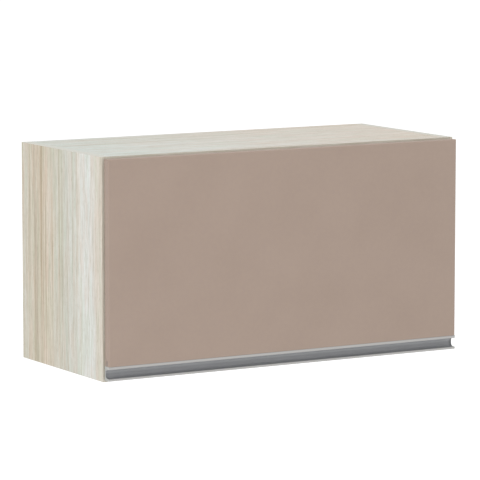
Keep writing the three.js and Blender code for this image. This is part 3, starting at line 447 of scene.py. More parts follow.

# %% [markdown]
# The handle profile is extruded aluminium with a satin anodised skin. Its two lips are brushed and
# come out bright, but the brush doesn't reach into the groove, where the metal keeps its duller
# etched skin. The groove's colour is painted shade: darker than the lips, darkest at the bottom and
# towards the two sawn ends, and darkest of all at the right end. Two materials on one piece could
# show that, but a single one that changes by place gives a soft border without cutting the mesh.
# The first function below says where the groove is, and the second gives its painted shade.

# %% The groove and its painted shade
PROFILE_LOW, PROFILE_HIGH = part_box("handle_profile")
LIP_LOWER, LIP_UPPER = 4.0, 5.0
PROFILE_HEIGHT = 24.5
GROOVE_BOTTOM = PROFILE_LOW.z / MM + LIP_LOWER
GROOVE_TOP = PROFILE_LOW.z / MM + PROFILE_HEIGHT - LIP_UPPER
GROOVE_FADE = 0.6, 2.2         # mm behind the lips' faces, where the etched skin and the painted shade fade in
GROOVE_MARGIN = 0.1              # how far it reaches past the groove's bottom and top
END_REACH = 7.0                # painted shade darkens the groove over its last millimetres
# What is left of the groove's colour at each sawn end: painted shade, darker at the right end.
END_PAINTED_SHADE = {"left": 0.8, "right": 0.3}


def inside_groove(tree, parts):
    """One in the groove (etched skin, painted shade), zero on the lips' faces. `parts` holds x, y
    and z.
    """
    inside = add_node(tree, "ShaderNodeMapRange", {
        "Value": parts.outputs[Y], "From Min": PROFILE_LOW.y + GROOVE_FADE[0] * MM,
        "From Max": PROFILE_LOW.y + GROOVE_FADE[1] * MM}).outputs[0]
    for limit, way in ((GROOVE_BOTTOM - GROOVE_MARGIN, "GREATER_THAN"),
                       (GROOVE_TOP + GROOVE_MARGIN, "LESS_THAN")):
        between = add_node(tree, "ShaderNodeMath", {0: parts.outputs[Z], 1: limit * MM},
                           operation=way).outputs[0]
        inside = add_node(tree, "ShaderNodeMath", {0: inside, 1: between},
                          operation="MULTIPLY").outputs[0]
    return inside


# The groove's colour is painted shade: darker towards its bottom and towards its two sawn ends.
def groove_painted_shade(tree, parts):
    height = add_node(tree, "ShaderNodeMapRange", {
        "Value": parts.outputs[Z], "From Min": GROOVE_BOTTOM * MM,
        "From Max": GROOVE_TOP * MM}).outputs[0]
    groove_shade = add_node(tree, "ShaderNodeValToRGB", {0: height}, stops=[
        (0.0, "#8C8D8F"), (0.5, "#929395"), (0.7, "#A9AAAC"), (1.0, "#CDCED0")]).outputs[0]
    for side, sign in SIDES.items():
        shade = add_node(tree, "ShaderNodeMapRange", {
            "Value": parts.outputs[X], "From Min": sign * (PROFILE_HIGH.x - END_REACH * MM),
            "From Max": sign * PROFILE_HIGH.x, "To Min": 1.0, "To Max": END_PAINTED_SHADE[side]}).outputs[0]
        groove_shade = add_node(tree, "ShaderNodeMix", {0: 1.0, 6: groove_shade, 7: shade},
                          data_type="RGBA", blend_type="MULTIPLY").outputs[2]
    return groove_shade


print("groove from", round(GROOVE_BOTTOM, 1), "to", round(GROOVE_TOP, 1), "mm")

# %% [markdown]
# Extrusion leaves hairlines that run the whole length, and anodising makes the metal softly matt,
# so it shows light and dark but no clear picture. Lines much finer than a millimetre would vanish
# at this distance, so they are drawn about half a millimetre wide. Etching leaves a thick oxide
# that hides part of the metal, so the groove mirrors less and is rougher. The sawn ends are pale
# and just as rough. Of the tongue that grips the door only the ends are seen, and they are dull.

# %% Anodised aluminium
ETCH_METALLIC, ETCH_ROUGHER = 0.4, 0.2
SAWN_END, SAWN_METAL = 0.1, "#BBBCB8"    # how deep the sawn finish reaches in mm, and its colour
DULL_TONGUE = "#A0968F"
DRAWN_LINE, HAZE_SIZE = (0.5, 260), 25   # a line's width and length, and the haze's size, in mm


def anodised_aluminium():
    material, tree, shader, place = start_material("satin_anodised_aluminium", 0.38, 1.0)
    parts = add_node(tree, "ShaderNodeSeparateXYZ", {0: place})
    lines = squeezed_noise(tree, place, X, *DRAWN_LINE, detail=3.0)
    haze = add_node(tree, "ShaderNodeTexNoise", {"Vector": place, "Scale": 1 / (HAZE_SIZE * MM),
                                                 "Detail": 2.0}).outputs["Fac"]
    metal = add_node(tree, "ShaderNodeValToRGB", {0: lines}, stops=[
        (0.3, "#A5A4A2"), (0.5, "#ADACAA"), (0.7, "#B4B3B0")]).outputs[0]

    inside = inside_groove(tree, parts)
    along = add_node(tree, "ShaderNodeMath", {0: parts.outputs[X]}, operation="ABSOLUTE").outputs[0]
    sawn = add_node(tree, "ShaderNodeMath", {0: along, 1: PROFILE_HIGH.x - SAWN_END * MM},
                    operation="GREATER_THAN").outputs[0]
    tongue = add_node(tree, "ShaderNodeMath", {
        0: parts.outputs[Z], 1: PROFILE_LOW.z + PROFILE_HEIGHT * MM},
        operation="GREATER_THAN").outputs[0]
    # Inside the groove the colour is painted shade. The sawn ends and the tongue keep their own
    # colours.
    for where, colour in ((inside, groove_painted_shade(tree, parts)), (sawn, linear(SAWN_METAL)),
                          (tongue, linear(DULL_TONGUE))):
        metal = add_node(tree, "ShaderNodeMix", {0: where, 6: metal, 7: colour},
                         data_type="RGBA").outputs[2]

    coarse = add_node(tree, "ShaderNodeMath", {0: inside, 1: sawn}, operation="MAXIMUM").outputs[0]
    bare = add_node(tree, "ShaderNodeMapRange", {"Value": coarse, "To Min": 1.0,
                                                 "To Max": ETCH_METALLIC}).outputs[0]
    gloss = add_node(tree, "ShaderNodeMapRange", {"Value": haze, "To Min": 0.32,
                                                  "To Max": 0.44}).outputs[0]
    gloss = add_node(tree, "ShaderNodeMath", {0: coarse, 1: ETCH_ROUGHER, 2: gloss},
                     operation="MULTIPLY_ADD").outputs[0]
    finish_material(tree, shader, metal, (lines, 0.2, 0.02), Roughness=gloss, Metallic=bare)
    return material


aluminium = anodised_aluminium()
print("handle finish:", aluminium.name)

# %% [markdown]
# The fittings are small steel pieces in three finishes. They differ in tint and gloss more than in
# pattern, so one table holds them: nickel on the hinges is warm and bright, zinc on the brackets,
# cams and screws is cooler and cloudier, and the strut's rod is ground and then hard chromed until
# it mirrors.

# %% Steel finishes
STEELS = {                # colours of the clouds, roughness from and to, cloud size in mm
    "nickel_plated_steel": (("#BEB8AE", "#CFCAC2"), (0.20, 0.30), 9),
    "zinc_plated_steel": (("#AEB3B8", "#C8CACC"), (0.30, 0.46), 4),
    "chromed_rod": (("#C9CACC", "#D6D7D8"), (0.06, 0.12), 12),
}
STEEL_GRAIN = 0.6         # mm
steels = {}
for name, (colours, gloss_range, size) in STEELS.items():
    material, tree, shader, place = start_material(name, gloss_range[0], 1.0)
    cloud = add_node(tree, "ShaderNodeTexNoise", {"Vector": place, "Scale": 1 / (size * MM),
                                                  "Detail": 4.0}).outputs["Fac"]
    metal = add_node(tree, "ShaderNodeValToRGB", {0: cloud}, stops=[
        (0.35, colours[0]), (0.65, colours[1])]).outputs[0]
    gloss = add_node(tree, "ShaderNodeMapRange", {
        "Value": cloud, "From Min": 0.3, "From Max": 0.7, "To Min": gloss_range[0],
        "To Max": gloss_range[1]}).outputs[0]
    grain = add_node(tree, "ShaderNodeTexNoise", {
        "Vector": place, "Scale": 1 / (STEEL_GRAIN * MM), "Detail": 2.0}).outputs["Fac"]
    finish_material(tree, shader, metal, (grain, 0.08, 0.02), Roughness=gloss)
    steels[name] = material
print("steels:", ", ".join(steels))

# %% [markdown]
# Next come paint, plastic and rubber. Moulded plastic copies the spark-eroded skin of its mould, a
# grain of about half a millimetre. The tube of a gas strut has baked grey paint. The bumpers are
# clear polyurethane, which lets half of the light through.

# %% Plastic, paint and rubber
MOULDED = {               # speckle's colours, roughness, speckle's size and depth in mm, clearness
    "black_moulded_nylon": (("#1A1A1B", "#242425"), 0.48, 0.5, 0.04, 0.0),
    "grey_moulded_abs": (("#B4B5B3", "#BFC0BE"), 0.52, 0.6, 0.04, 0.0),
    "grey_baked_enamel": (("#8E9092", "#989A9C"), 0.34, 1.4, 0.01, 0.0),
    "clear_polyurethane": (("#DDE0DD", "#E8EAE8"), 0.25, 2.0, 0.01, 0.5),
}
moulded = {}
for name, (colours, roughness, size, depth, clearness) in MOULDED.items():
    material, tree, shader, place = start_material(name, roughness)
    shader.inputs["Transmission Weight"].default_value = clearness
    speckle = add_node(tree, "ShaderNodeTexNoise", {"Vector": place, "Scale": 1 / (size * MM),
                                                    "Detail": 3.0}).outputs["Fac"]
    skin = add_node(tree, "ShaderNodeValToRGB", {0: speckle}, stops=[
        (0.35, colours[0]), (0.65, colours[1])]).outputs[0]
    finish_material(tree, shader, skin, (speckle, 0.3, depth))
    moulded[name] = material
print("moulded and painted:", ", ".join(moulded))

# %% [markdown]
# Dowels are plain beech. Its grain is fine and straight, with short darker flecks, and runs along
# the dowel, which is the x direction in all four corners.

# %% Beech
def plain_beech():
    material, tree, shader, place = start_material("plain_beech", roughness=0.6)
    fleck = squeezed_noise(tree, place, X, across=0.8, along=6.0, detail=3.0, seed=2.0,
                           roughness=WOOD_ROUGHNESS)
    wood = add_node(tree, "ShaderNodeValToRGB", {0: fleck}, stops=[
        (0.3, "#B98E66"), (0.5, "#CBA47B"), (0.7, "#D6B38C")]).outputs[0]
    finish_material(tree, shader, wood, (fleck, 0.3, 0.05))
    return material


beech = plain_beech()
print("dowels:", beech.name)

# %% [markdown]
# The back is thin fibreboard. It is printed pale on the inside of the cabinet and shows its bare
# brown fibre towards the wall. One material does both: the colour switches halfway through the
# board.

# %% Fibreboard back
BACK_LOW, BACK_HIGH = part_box("back_panel")
BACK_MIDDLE = (BACK_LOW.y + BACK_HIGH.y) / 2
BACK_FIBRE = 2.5          # mm


def back_board():
    material, tree, shader, place = start_material("printed_fibreboard", roughness=0.68)
    fibres = add_node(tree, "ShaderNodeTexNoise", {
        "Vector": place, "Scale": 1 / (BACK_FIBRE * MM), "Detail": 6.0,
        "Roughness": 0.7}).outputs["Fac"]
    brown = add_node(tree, "ShaderNodeValToRGB", {0: fibres}, stops=[
        (0.3, "#7B6248"), (0.5, "#92775A"), (0.7, "#A68D6F")]).outputs[0]
    pale = add_node(tree, "ShaderNodeValToRGB", {0: fibres}, stops=[
        (0.3, "#D6D2C8"), (0.7, "#E0DDD4")]).outputs[0]
    parts = add_node(tree, "ShaderNodeSeparateXYZ", {0: place})
    wall_side = add_node(tree, "ShaderNodeMath", {0: parts.outputs[Y], 1: BACK_MIDDLE},
                         operation="GREATER_THAN").outputs[0]
    board = add_node(tree, "ShaderNodeMix", {0: wall_side, 6: pale, 7: brown},
                     data_type="RGBA").outputs[2]
    finish_material(tree, shader, board, (fibres, 0.3, 0.05))
    return material


fibreboard = back_board()
print("back:", fibreboard.name)

# %% [markdown]
# ## Dressing the CAD pieces
#
# Carcass boards are flat with crisp edges, so their CAD solids are already right. They only need
# the new finish in their material slot. Their place is in their mesh and stays untouched.

# %% Finishes for the boards
BOARD_FINISH = {
    "top_panel": level_oak, "bottom_panel": level_oak,
    "left_side_panel": upright_oak, "right_side_panel": upright_oak,
    "top_edge_band": level_edging, "bottom_edge_band": level_edging,
    "left_side_edge_band": upright_edging, "right_side_edge_band": upright_edging,
    "back_panel": fibreboard,
}
for node, material in BOARD_FINISH.items():
    for slot in frame["nodes"][node].material_slots:
        slot.material = material
print("boards dressed:", len(BOARD_FINISH))

# %% [markdown]
# Hinge cups, arms, links and brackets are pressed and punched steel. Their CAD solids have the
# right shape, but each round edge is a row of flat facets. A copy whose loose triangles are
# joined can be shaded smooth, with creases kept where two faces meet at a real corner. Triangles
# that lie in one plane are first dissolved into one face, because long thin ones would tilt the
# shading at their corners. The copy then stands for the CAD node.

# %% Smooth copies
CREASE = math.radians(32)
FLAT = math.radians(0.5)
MERGE = 0.001             # points that lie closer than this, in mm, are one


def mesh_from(solid, name):
    """Turns a bmesh into a mesh and frees it."""
    mesh = bpy.data.meshes.new(name)
    solid.to_mesh(mesh)
    solid.free()
    return mesh


def add_piece(name, mesh, material, slot, body, node=None):
    """Makes an object of a mesh, shades it smooth between creases, puts it on its body and hides
    the CAD node that it replaces.
    """
    mesh.materials.clear()
    mesh.materials.append(material)
    mesh.polygons.foreach_set("use_smooth", [True] * len(mesh.polygons))
    mesh.set_sharp_from_angle(angle=CREASE)
    piece = add_object(name, mesh)
    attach(piece, body)
    if node:
        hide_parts(node)
    return piece


def smooth_copy(node, material, slot):
    part = frame["nodes"][node]
    shell = bmesh.new()
    shell.from_mesh(part.data)
    bmesh.ops.remove_doubles(shell, verts=shell.verts, dist=MERGE * MM)
    bmesh.ops.dissolve_limit(shell, angle_limit=FLAT, verts=shell.verts, edges=shell.edges)
    mesh = mesh_from(shell, f"{node}_smooth")
    return add_piece(f"{node}_smooth", mesh, material, slot, part["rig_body"], node)


print("edges are creased from", round(math.degrees(CREASE)), "degrees on")

# %% [markdown]
# The fittings come in pairs, one for each side of the cabinet. One table gives each its finish
# and a name for that material, and a loop makes both sides from it.

# %% Fittings
NICKEL = (steels["nickel_plated_steel"], "nickel_steel")
ZINC = (steels["zinc_plated_steel"], "zinc_steel")
NYLON = (moulded["black_moulded_nylon"], "black_plastic")
FITTINGS = {
    "hinge_plate": NICKEL, "hinge_arm": NICKEL, "hinge_cup": NICKEL,
    "outer_link": NICKEL, "inner_link": NICKEL,
    "strut_side_bracket": ZINC, "strut_door_bracket": ZINC,
    "strut_rod_socket": NYLON, "strut_tube_socket": NYLON,
    "hanger_housing": (moulded["grey_moulded_abs"], "grey_plastic"), "hanger_hook": ZINC,
}
for side in SIDES:
    for part, finish in FITTINGS.items():
        smooth_copy(f"{side}_{part}", *finish)
print("fittings:", len(SIDES) * len(FITTINGS))

# %% [markdown]
# The corners of the carcass are knock-down joints: a dowel keeps each corner in line, and two cams
# pull on the heads of bolts that stand in the side panel. They lie inside the boards, and only the
# cams' faces show. They get the same smooth copies.

# %% Corner joints
corner_nodes = [node for node in frame["nodes"] if node.endswith(("_cam", "_bolt", "_dowel"))]
for node in corner_nodes:
    finish = (beech, "beech") if node.endswith("_dowel") else ZINC
    smooth_copy(node, *finish)
print("pieces in the corners:", len(corner_nodes))

# %% [markdown]
# The door's edges are rounded by about two millimetres before it is sprayed, and at this distance
# that rounding is what shows where the door's face ends: it catches a thin line of light. Smooth
# shading alone would bend the light across the whole flat face, because its few corner points are
# shared with the rounding. Weighted normals let the large faces decide, so that only the rounding
# is shaded round. The door's own crease angle is small, which keeps its sawn lower end crisp where
# the rounding runs out into it.

# %% Door
DOOR_CREASE = math.radians(12)
door = smooth_copy("door_panel", lacquer, "taupe_lacquer")
door.data.set_sharp_from_angle(angle=DOOR_CREASE)
weighted = door.modifiers.new("weighted_normals", "WEIGHTED_NORMAL")
weighted.keep_sharp = True
print("door:", len(door.data.polygons), "faces")

# %% [markdown]
# The handle profile is one section pushed through a die, so its whole shape is one outline moved
# along the door. The outline is drawn first, with fine arcs: a lower lip, a deep groove with round
# inner corners for the fingertips, an upper lip, and a barbed tongue that is pressed into the
# door's lower edge.

# %% Outline of the handle
PROFILE_FRONT, PROFILE_REAR = PROFILE_LOW.y / MM, PROFILE_HIGH.y / MM
PROFILE_BOTTOM = PROFILE_LOW.z / MM
PROFILE_WEB = 3.0
POCKET_RADIUS = 6.0
LIP_RADIUS = 0.7
LIP_STEPS, POCKET_STEPS = 5, 12
TONGUE_HALF, TONGUE_HEIGHT, BARB, BARBS = 1.2, 9.0, 0.6, 3
BARB_SHARE = 3                 # a barb takes the last third of its pitch


def arc(centre, radius, start, end, steps):
    """Points on an arc in (y, z), from one angle in degrees to another."""
    angles = [math.radians(start + (end - start) * i / steps) for i in range(steps + 1)]
    return [(centre[0] + radius * math.cos(a), centre[1] + radius * math.sin(a)) for a in angles]


def profile_outline():
    front, rear, bottom = PROFILE_FRONT, PROFILE_REAR, PROFILE_BOTTOM
    top = bottom + PROFILE_HEIGHT
    web, floor_of_groove, ceiling = rear - PROFILE_WEB, bottom + LIP_LOWER, top - LIP_UPPER
    lip, pocket = LIP_RADIUS, POCKET_RADIUS
    middle = (front + rear) / 2
    pitch = TONGUE_HEIGHT / (BARBS + 1)
    barbs = [top + pitch * (i + 1) for i in range(BARBS)]
    foot = pitch / BARB_SHARE
    behind = [point for z in barbs for point in (
        (middle + TONGUE_HALF, z - foot), (middle + TONGUE_HALF + BARB, z - foot),
        (middle + TONGUE_HALF, z))]
    before = [(2 * middle - y, z) for y, z in reversed(behind)]
    tongue = [(middle + TONGUE_HALF, top), *behind, (middle + TONGUE_HALF, top + TONGUE_HEIGHT),
              (middle - TONGUE_HALF, top + TONGUE_HEIGHT), *before, (middle - TONGUE_HALF, top)]
    return [
        *arc((rear - lip, bottom + lip), lip, -90, 0, LIP_STEPS), (rear, top), *tongue,
        *arc((front + lip, top - lip), lip, 90, 180, LIP_STEPS),
        *arc((front + lip, ceiling + lip), lip, 180, 270, LIP_STEPS),
        *arc((web - pocket, ceiling - pocket), pocket, 90, 0, POCKET_STEPS),
        *arc((web - pocket, floor_of_groove + pocket), pocket, 0, -90, POCKET_STEPS),
        *arc((front + lip, floor_of_groove - lip), lip, 90, 180, LIP_STEPS),
        *arc((front + lip, bottom + lip), lip, 180, 270, LIP_STEPS),
    ]


HANDLE_OUTLINE = profile_outline()
print("handle outline:", len(HANDLE_OUTLINE), "points")

# %% [markdown]
# Moving the outline along x gives the channel: a face for each step of the outline, and a flat
# face at each end, where the saw cut it to the door's width.

# %% Handle channel
def closed_mesh(solid, name):
    """Merges double points, turns all faces outwards and makes a mesh."""
    bmesh.ops.remove_doubles(solid, verts=solid.verts, dist=MERGE * MM)
    bmesh.ops.recalc_face_normals(solid, faces=solid.faces)
    return mesh_from(solid, name)


def pulled_along_x(name, outline, half):
    """A closed outline in (y, z) millimetres, pulled from -half to +half in metres."""
    solid = bmesh.new()
    ends = [[solid.verts.new((x, y * MM, z * MM)) for y, z in outline] for x in (-half, half)]
    count = len(outline)
    for i in range(count):
        j = (i + 1) % count
        solid.faces.new((ends[0][i], ends[0][j], ends[1][j], ends[1][i]))
    solid.faces.new(ends[0])
    solid.faces.new(ends[1])
    return closed_mesh(solid, name)


handle_mesh = pulled_along_x("handle_channel", HANDLE_OUTLINE, PROFILE_HIGH.x)
add_piece("handle_channel", handle_mesh, aluminium, "anodised_aluminium", "door",
          "handle_profile")
print("handle channel:", len(handle_mesh.vertices), "points")

# %% [markdown]
# A gas strut's tube and rod, a bumper and a screw head are all round. Blender's Spin tool could
# make them, but each needs only rings of points about an axis, with a wall between each ring and
# the next. So one function turns any profile about any axis, as a lathe does.

# %% Turned pieces
X_AXIS, Y_AXIS, Z_AXIS = Vector((1, 0, 0)), Vector((0, 1, 0)), Vector((0, 0, 1))


def turned(name, profile, foot, axis, across, steps, unit=MM):
    """A profile of (radius, distance along the axis from `foot` on), turned about the axis. Rings
    start on the side that `across` gives. Radius zero gives a tip, and an open end a flat face."""
    third = axis.cross(across)
    ways = [across * math.cos(turn) + third * math.sin(turn)
            for turn in (2 * math.pi * i / steps for i in range(steps))]
    solid = bmesh.new()
    rings = []
    for radius, distance in profile:
        centre = foot + axis * distance * unit
        if radius:
            rings.append([solid.verts.new(centre + way * radius * unit) for way in ways])
        else:
            rings.append([solid.verts.new(centre)] * steps)
    for ring, following in zip(rings, rings[1:]):
        for i in range(steps):
            j = (i + 1) % steps
            corners = list(dict.fromkeys((ring[i], ring[j], following[j], following[i])))
            if len(corners) > 2:
                solid.faces.new(corners)
    if profile[0] != profile[-1]:
        for end in (0, -1):
            if profile[end][0]:
                solid.faces.new(rings[end])
    return closed_mesh(solid, name)


print("a turned piece has a ring of points for each point of its profile")

# %% [markdown]
# Gas struts are a tube with a rolled-in guide at its open end and a crimped cap, and a chromed rod
# with a piston. Their axis leans from the ball on the side panel to the stud on the door. Both
# struts are the same but for x.

# %% Gas struts
STRUT_X = 322.0
SIDE_BALL = (-215.0, -224.5)          # y and z in mm of the ball on the side panel
DOOR_STUD = (-285.5, -54.5)
STRUT_LENGTH = math.dist(SIDE_BALL, DOOR_STUD)
LEANING = Vector((0, DOOR_STUD[0] - SIDE_BALL[0], DOOR_STUD[1] - SIDE_BALL[1])).normalized()
SHANK, THREAD = 15.0, 6.0
FREE_ROD = 4.0                        # what shows of the rod when the door is shut
STROKE, GUIDE, PISTON, PISTON_PLAY = 60.0, 9.0, 8.0, 2.0
ROD_START, TUBE_START, TUBE_END = SHANK - THREAD, SHANK + FREE_ROD, STRUT_LENGTH - SHANK
ROD_END = TUBE_START + STROKE + GUIDE + PISTON + PISTON_PLAY
TUBE_RADIUS, TUBE_BORE, TUBE_CAP, GUIDE_BORE, GUIDE_END = 7.5, 6.4, 4.0, 3.3, 9.5
ROD_RADIUS, PISTON_RADIUS, RING_SEAT = 3.0, 6.2, 5.7
STRUT_STEPS = 48

tube_length = TUBE_END - TUBE_START
TUBE_PROFILE = [                      # the mouth, the rolled groove, the cap, the stud, the inside
    (GUIDE_BORE, 2.0), (3.5, 0.4), (5.4, 0.0), (6.6, 0.3), (7.3, 1.0), (TUBE_RADIUS, 2.0),
    (TUBE_RADIUS, 7.0), (7.35, 7.6), (7.05, 8.0), (6.95, 8.6), (7.05, 9.2), (7.35, 9.6),
    (TUBE_RADIUS, 10.2), (TUBE_RADIUS, tube_length - 3.2), (7.3, tube_length - 1.8),
    (6.7, tube_length - 0.8), (5.6, tube_length - 0.15), (ROD_RADIUS, tube_length),
    (ROD_RADIUS, tube_length + THREAD - 0.5), (2.6, tube_length + THREAD),
    (0, tube_length + THREAD), (0, tube_length - TUBE_CAP), (TUBE_BORE, tube_length - TUBE_CAP),
    (TUBE_BORE, GUIDE_END), (GUIDE_BORE, GUIDE_END), (GUIDE_BORE, 2.0)]
rod_length = ROD_END - ROD_START
ROD_PROFILE = [                       # the rod, then the piston with a seat for its ring
    (0, 0), (2.5, 0), (ROD_RADIUS, 0.5), (ROD_RADIUS, rod_length - PISTON),
    (5.8, rod_length - PISTON), (PISTON_RADIUS, rod_length - 7.5),
    (PISTON_RADIUS, rod_length - 5.0), (RING_SEAT, rod_length - 4.6),
    (RING_SEAT, rod_length - 3.4), (PISTON_RADIUS, rod_length - 3.0),
    (PISTON_RADIUS, rod_length - 0.4), (5.8, rod_length), (0, rod_length)]

for side, sign in SIDES.items():
    ball = millimetres(sign * STRUT_X, *SIDE_BALL)
    tube_mesh = turned(f"{side}_pressure_tube", TUBE_PROFILE, ball + LEANING * TUBE_START * MM,
                       LEANING, X_AXIS, STRUT_STEPS)
    add_piece(f"{side}_pressure_tube", tube_mesh, moulded["grey_baked_enamel"], "coated_steel",
              f"{side}_tube", f"{side}_strut_tube")
    rod_mesh = turned(f"{side}_piston_rod", ROD_PROFILE, ball + LEANING * ROD_START * MM,
                      LEANING, X_AXIS, STRUT_STEPS)
    add_piece(f"{side}_piston_rod", rod_mesh, steels["chromed_rod"], "polished_steel",
              f"{side}_rod", f"{side}_strut_rod")
print("strut length when shut:", round(STRUT_LENGTH, 1), "mm")

# %% [markdown]
# Two soft bumpers sit where the door's back meets the carcass, so that it closes without a knock.
# Each is a low dome of clear polyurethane, a stick-on pad eight millimetres across.

# %% Bumpers
BUMPER_RADIUS, BUMPER_HEIGHT, BUMPER_RIM = 4.0, 1.7, 0.7
BUMPER_STEPS, DOME_STEPS = 32, 8
dome = [(BUMPER_RADIUS * math.cos(rise), BUMPER_RIM + (BUMPER_HEIGHT - BUMPER_RIM) * math.sin(rise))
        for rise in (math.pi / 2 * i / DOME_STEPS for i in range(DOME_STEPS))]
BUMPER_PROFILE = [(BUMPER_RADIUS, 0.0), *dome, (0.0, BUMPER_HEIGHT)]

for side in SIDES:
    low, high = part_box(f"{side}_door_bumper")
    foot = Vector(((low.x + high.x) / 2, low.y, (low.z + high.z) / 2))
    pad = turned(f"{side}_bumper_dome", BUMPER_PROFILE, foot, Y_AXIS, X_AXIS, BUMPER_STEPS)
    add_piece(f"{side}_bumper_dome", pad, moulded["clear_polyurethane"], "clear_rubber", "door",
              f"{side}_door_bumper")
print("bumpers:", len(SIDES))

# %% [markdown]
# ## Screws
#
# Twenty-four screws hold the fittings. They are all alike: a low pan head with a cross recess.
# One head is modelled, and a Geometry Nodes tree places it on a cloud of points. Each point says
# which way its screw faces, and a seeded random turn keeps the crosses from lining up, as on a
# real cabinet. The tree ends with real geometry and a material, so that the result can be turned
# into one plain mesh for each body.

# %% One screw head
HEAD_PROFILE = [(0.0, 0.24), (0.26, 0.235), (0.38, 0.20), (0.46, 0.13), (0.5, 0.04), (0.5, 0.0)]
HEAD_STEPS = 24
CROSS_REACH, CROSS_HALF, CROSS_DEPTH, CROSS_TAPER = 0.27, 0.055, 0.17, 0.45
CUTTER_TOP = 0.30


def screw_head():
    """A head one unit across, standing on z = 0, with a cross cut into its top."""
    head = turned("screw_head", HEAD_PROFILE, Vector(), Z_AXIS, X_AXIS, HEAD_STEPS, unit=1.0)
    cross = bmesh.new()
    for reach_x, reach_y in ((CROSS_REACH, CROSS_HALF), (CROSS_HALF, CROSS_REACH)):
        for corner in bmesh.ops.create_cube(cross, size=2.0)["verts"]:
            low = corner.co.z < 0
            taper = CROSS_TAPER if low else 1.0
            corner.co = Vector((corner.co.x * reach_x * taper, corner.co.y * reach_y * taper,
                                HEAD_PROFILE[0][1] - CROSS_DEPTH if low else CUTTER_TOP))
    screw = add_object("screw_head", head)
    cutter = add_object("cross_cutter", mesh_from(cross, "cross_cutter"))
    cut = screw.modifiers.new("cross", "BOOLEAN")
    cut.operation = "DIFFERENCE"
    cut.object = cutter
    cut.use_self = True
    graph = bpy.context.evaluated_depsgraph_get()
    finished = bpy.data.meshes.new_from_object(screw.evaluated_get(graph))
    for thing in (screw, cutter):
        bpy.data.objects.remove(thing)
    return add_object("screw_pattern", finished)


screw_pattern = screw_head()
print("screw head:", len(screw_pattern.data.polygons), "faces")

# %% [markdown]
# The tree takes a cloud of points and puts a copy of the head on each. Its inputs are the head,
# its diameter, a seed for the turns and the finish, so one tree serves every body.

# %% The tree that places screws
QUARTER_TURN = math.pi / 2     # after this much, a cross looks the same again


def screw_tree():
    tree = bpy.data.node_groups.new("place_screws", "GeometryNodeTree")
    for name, kind, way in (("Points", "NodeSocketGeometry", "INPUT"),
                            ("Screw", "NodeSocketObject", "INPUT"),
                            ("Head Diameter", "NodeSocketFloat", "INPUT"),
                            ("Turn Seed", "NodeSocketInt", "INPUT"),
                            ("Finish", "NodeSocketMaterial", "INPUT"),
                            ("Screws", "NodeSocketGeometry", "OUTPUT")):
        tree.interface.new_socket(name, in_out=way, socket_type=kind)
    given = add_node(tree, "NodeGroupInput")
    head = add_node(tree, "GeometryNodeObjectInfo", {"Object": given.outputs["Screw"]})
    facing = add_node(tree, "GeometryNodeInputNamedAttribute", {"Name": "facing"},
                      data_type="FLOAT_VECTOR")
    upright = add_node(tree, "FunctionNodeAlignRotationToVector",
                       {"Vector": facing.outputs["Attribute"]}, axis="Z")
    turn = add_node(tree, "FunctionNodeRandomValue", {
        3: QUARTER_TURN, "Seed": given.outputs["Turn Seed"]}, data_type="FLOAT")
    about = add_node(tree, "FunctionNodeAxisAngleToRotation", {
        "Axis": (0, 0, 1), "Angle": turn.outputs[1]})
    stance = add_node(tree, "FunctionNodeRotateRotation", {
        "Rotation": upright.outputs[0], "Rotate By": about.outputs[0]}, rotation_space="LOCAL")
    placed = add_node(tree, "GeometryNodeInstanceOnPoints", {
        "Points": given.outputs["Points"], "Instance": head.outputs["Geometry"],
        "Rotation": stance.outputs[0], "Scale": given.outputs["Head Diameter"]})
    real = add_node(tree, "GeometryNodeRealizeInstances", {0: placed.outputs[0]})
    finished = add_node(tree, "GeometryNodeSetMaterial", {
        "Geometry": real.outputs[0], "Material": given.outputs["Finish"]})
    add_node(tree, "NodeGroupOutput", {0: finished.outputs[0]})
    return tree


place_screws = screw_tree()
print("inputs:", [item.name for item in place_screws.interface.items_tree
                  if item.in_out == "INPUT"])

# %% [markdown]
# The points come from the fittings that the screws hold: two on the wings of each hinge plate, two
# on its arm, two on each bracket, two in each hanger and two on the wings of each hinge cup. The
# numbers are the fittings' faces and hole spacings. The carcass and the door have a list each.

# %% Where the screws go
HINGE_X = 250.0
PLATE_Y, PLATE_FACE, PLATE_REACH = -263.0, -10.0, 19.0
ARM_FACE, ARM_SCREWS = -21.8, (-277.0, -247.0)
CUP_SCREW_Z, CUP_FACE, CUP_REACH = -23.5, -300.8, 25.0
BRACKET_FACE_X, BRACKET_STEP = 333.0, 14.5
BASE_FACE, BASE_X, BASE_STEP = -300.0, 312.0, 12.0
HANGER_X, HANGER_SEAT, HANGER_SCREWS = 326.0, -53.3, (-29.5, -55.5)

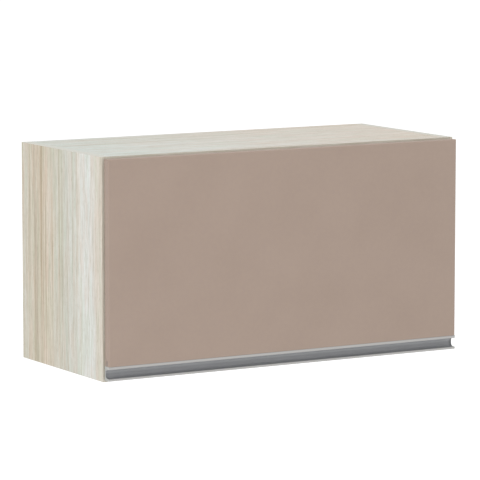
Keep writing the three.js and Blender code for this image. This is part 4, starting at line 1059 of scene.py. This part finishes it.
screws = {"carcass": [], "door": []}      # (point in mm, facing)
for sign in SIDES.values():
    for reach in (-PLATE_REACH, PLATE_REACH):
        screws["carcass"].append(((sign * HINGE_X + reach, PLATE_Y, PLATE_FACE), (0, 0, -1)))
    for y in ARM_SCREWS:
        screws["carcass"].append(((sign * HINGE_X, y, ARM_FACE), (0, 0, -1)))
    for way in (-1, 1):
        screws["carcass"].append(((sign * BRACKET_FACE_X, SIDE_BALL[0],
                                   SIDE_BALL[1] + way * BRACKET_STEP), (-sign, 0, 0)))
        screws["door"].append(((sign * BASE_X, BASE_FACE, DOOR_STUD[1] + way * BASE_STEP),
                               (0, 1, 0)))
    for z in HANGER_SCREWS:
        screws["carcass"].append(((sign * HANGER_X, HANGER_SEAT, z), (0, -1, 0)))
    for reach in (-CUP_REACH, CUP_REACH):
        screws["door"].append(((sign * HINGE_X + reach, CUP_FACE, CUP_SCREW_Z), (0, 1, 0)))
print("screws:", {body: len(places) for body, places in screws.items()})

# %% [markdown]
# Now the tree runs once for each body, so that the door's screws are one piece that lifts with the
# door. Reading the evaluated object gives a plain mesh, and the points and their modifier go.

# %% Screws on each body
SCREW_DIAMETER = 6.8 * MM
for seed, (body, places) in enumerate(screws.items()):
    points = bpy.data.meshes.new(f"{body}_screws")
    points.from_pydata([millimetres(*place) for place, _ in places], [], [])
    facing = points.attributes.new("facing", "FLOAT_VECTOR", "POINT")
    facing.data.foreach_set("vector", [part for _, way in places for part in way])
    holder = add_object(f"{body}_screw_points", points)
    modifier = holder.modifiers.new("screws", "NODES")
    modifier.node_group = place_screws
    wanted = {"Screw": screw_pattern, "Head Diameter": SCREW_DIAMETER, "Turn Seed": seed,
              "Finish": ZINC[0]}
    for item in place_screws.interface.items_tree:
        if item.name in wanted:
            modifier[item.identifier] = wanted[item.name]
    graph = bpy.context.evaluated_depsgraph_get()
    heads = bpy.data.meshes.new_from_object(holder.evaluated_get(graph))
    bpy.data.objects.remove(holder)
    add_piece(f"{body}_screws", heads, *ZINC, body)
    print(body, "has", len(places), "screws,", len(heads.polygons), "faces")
bpy.data.objects.remove(screw_pattern)
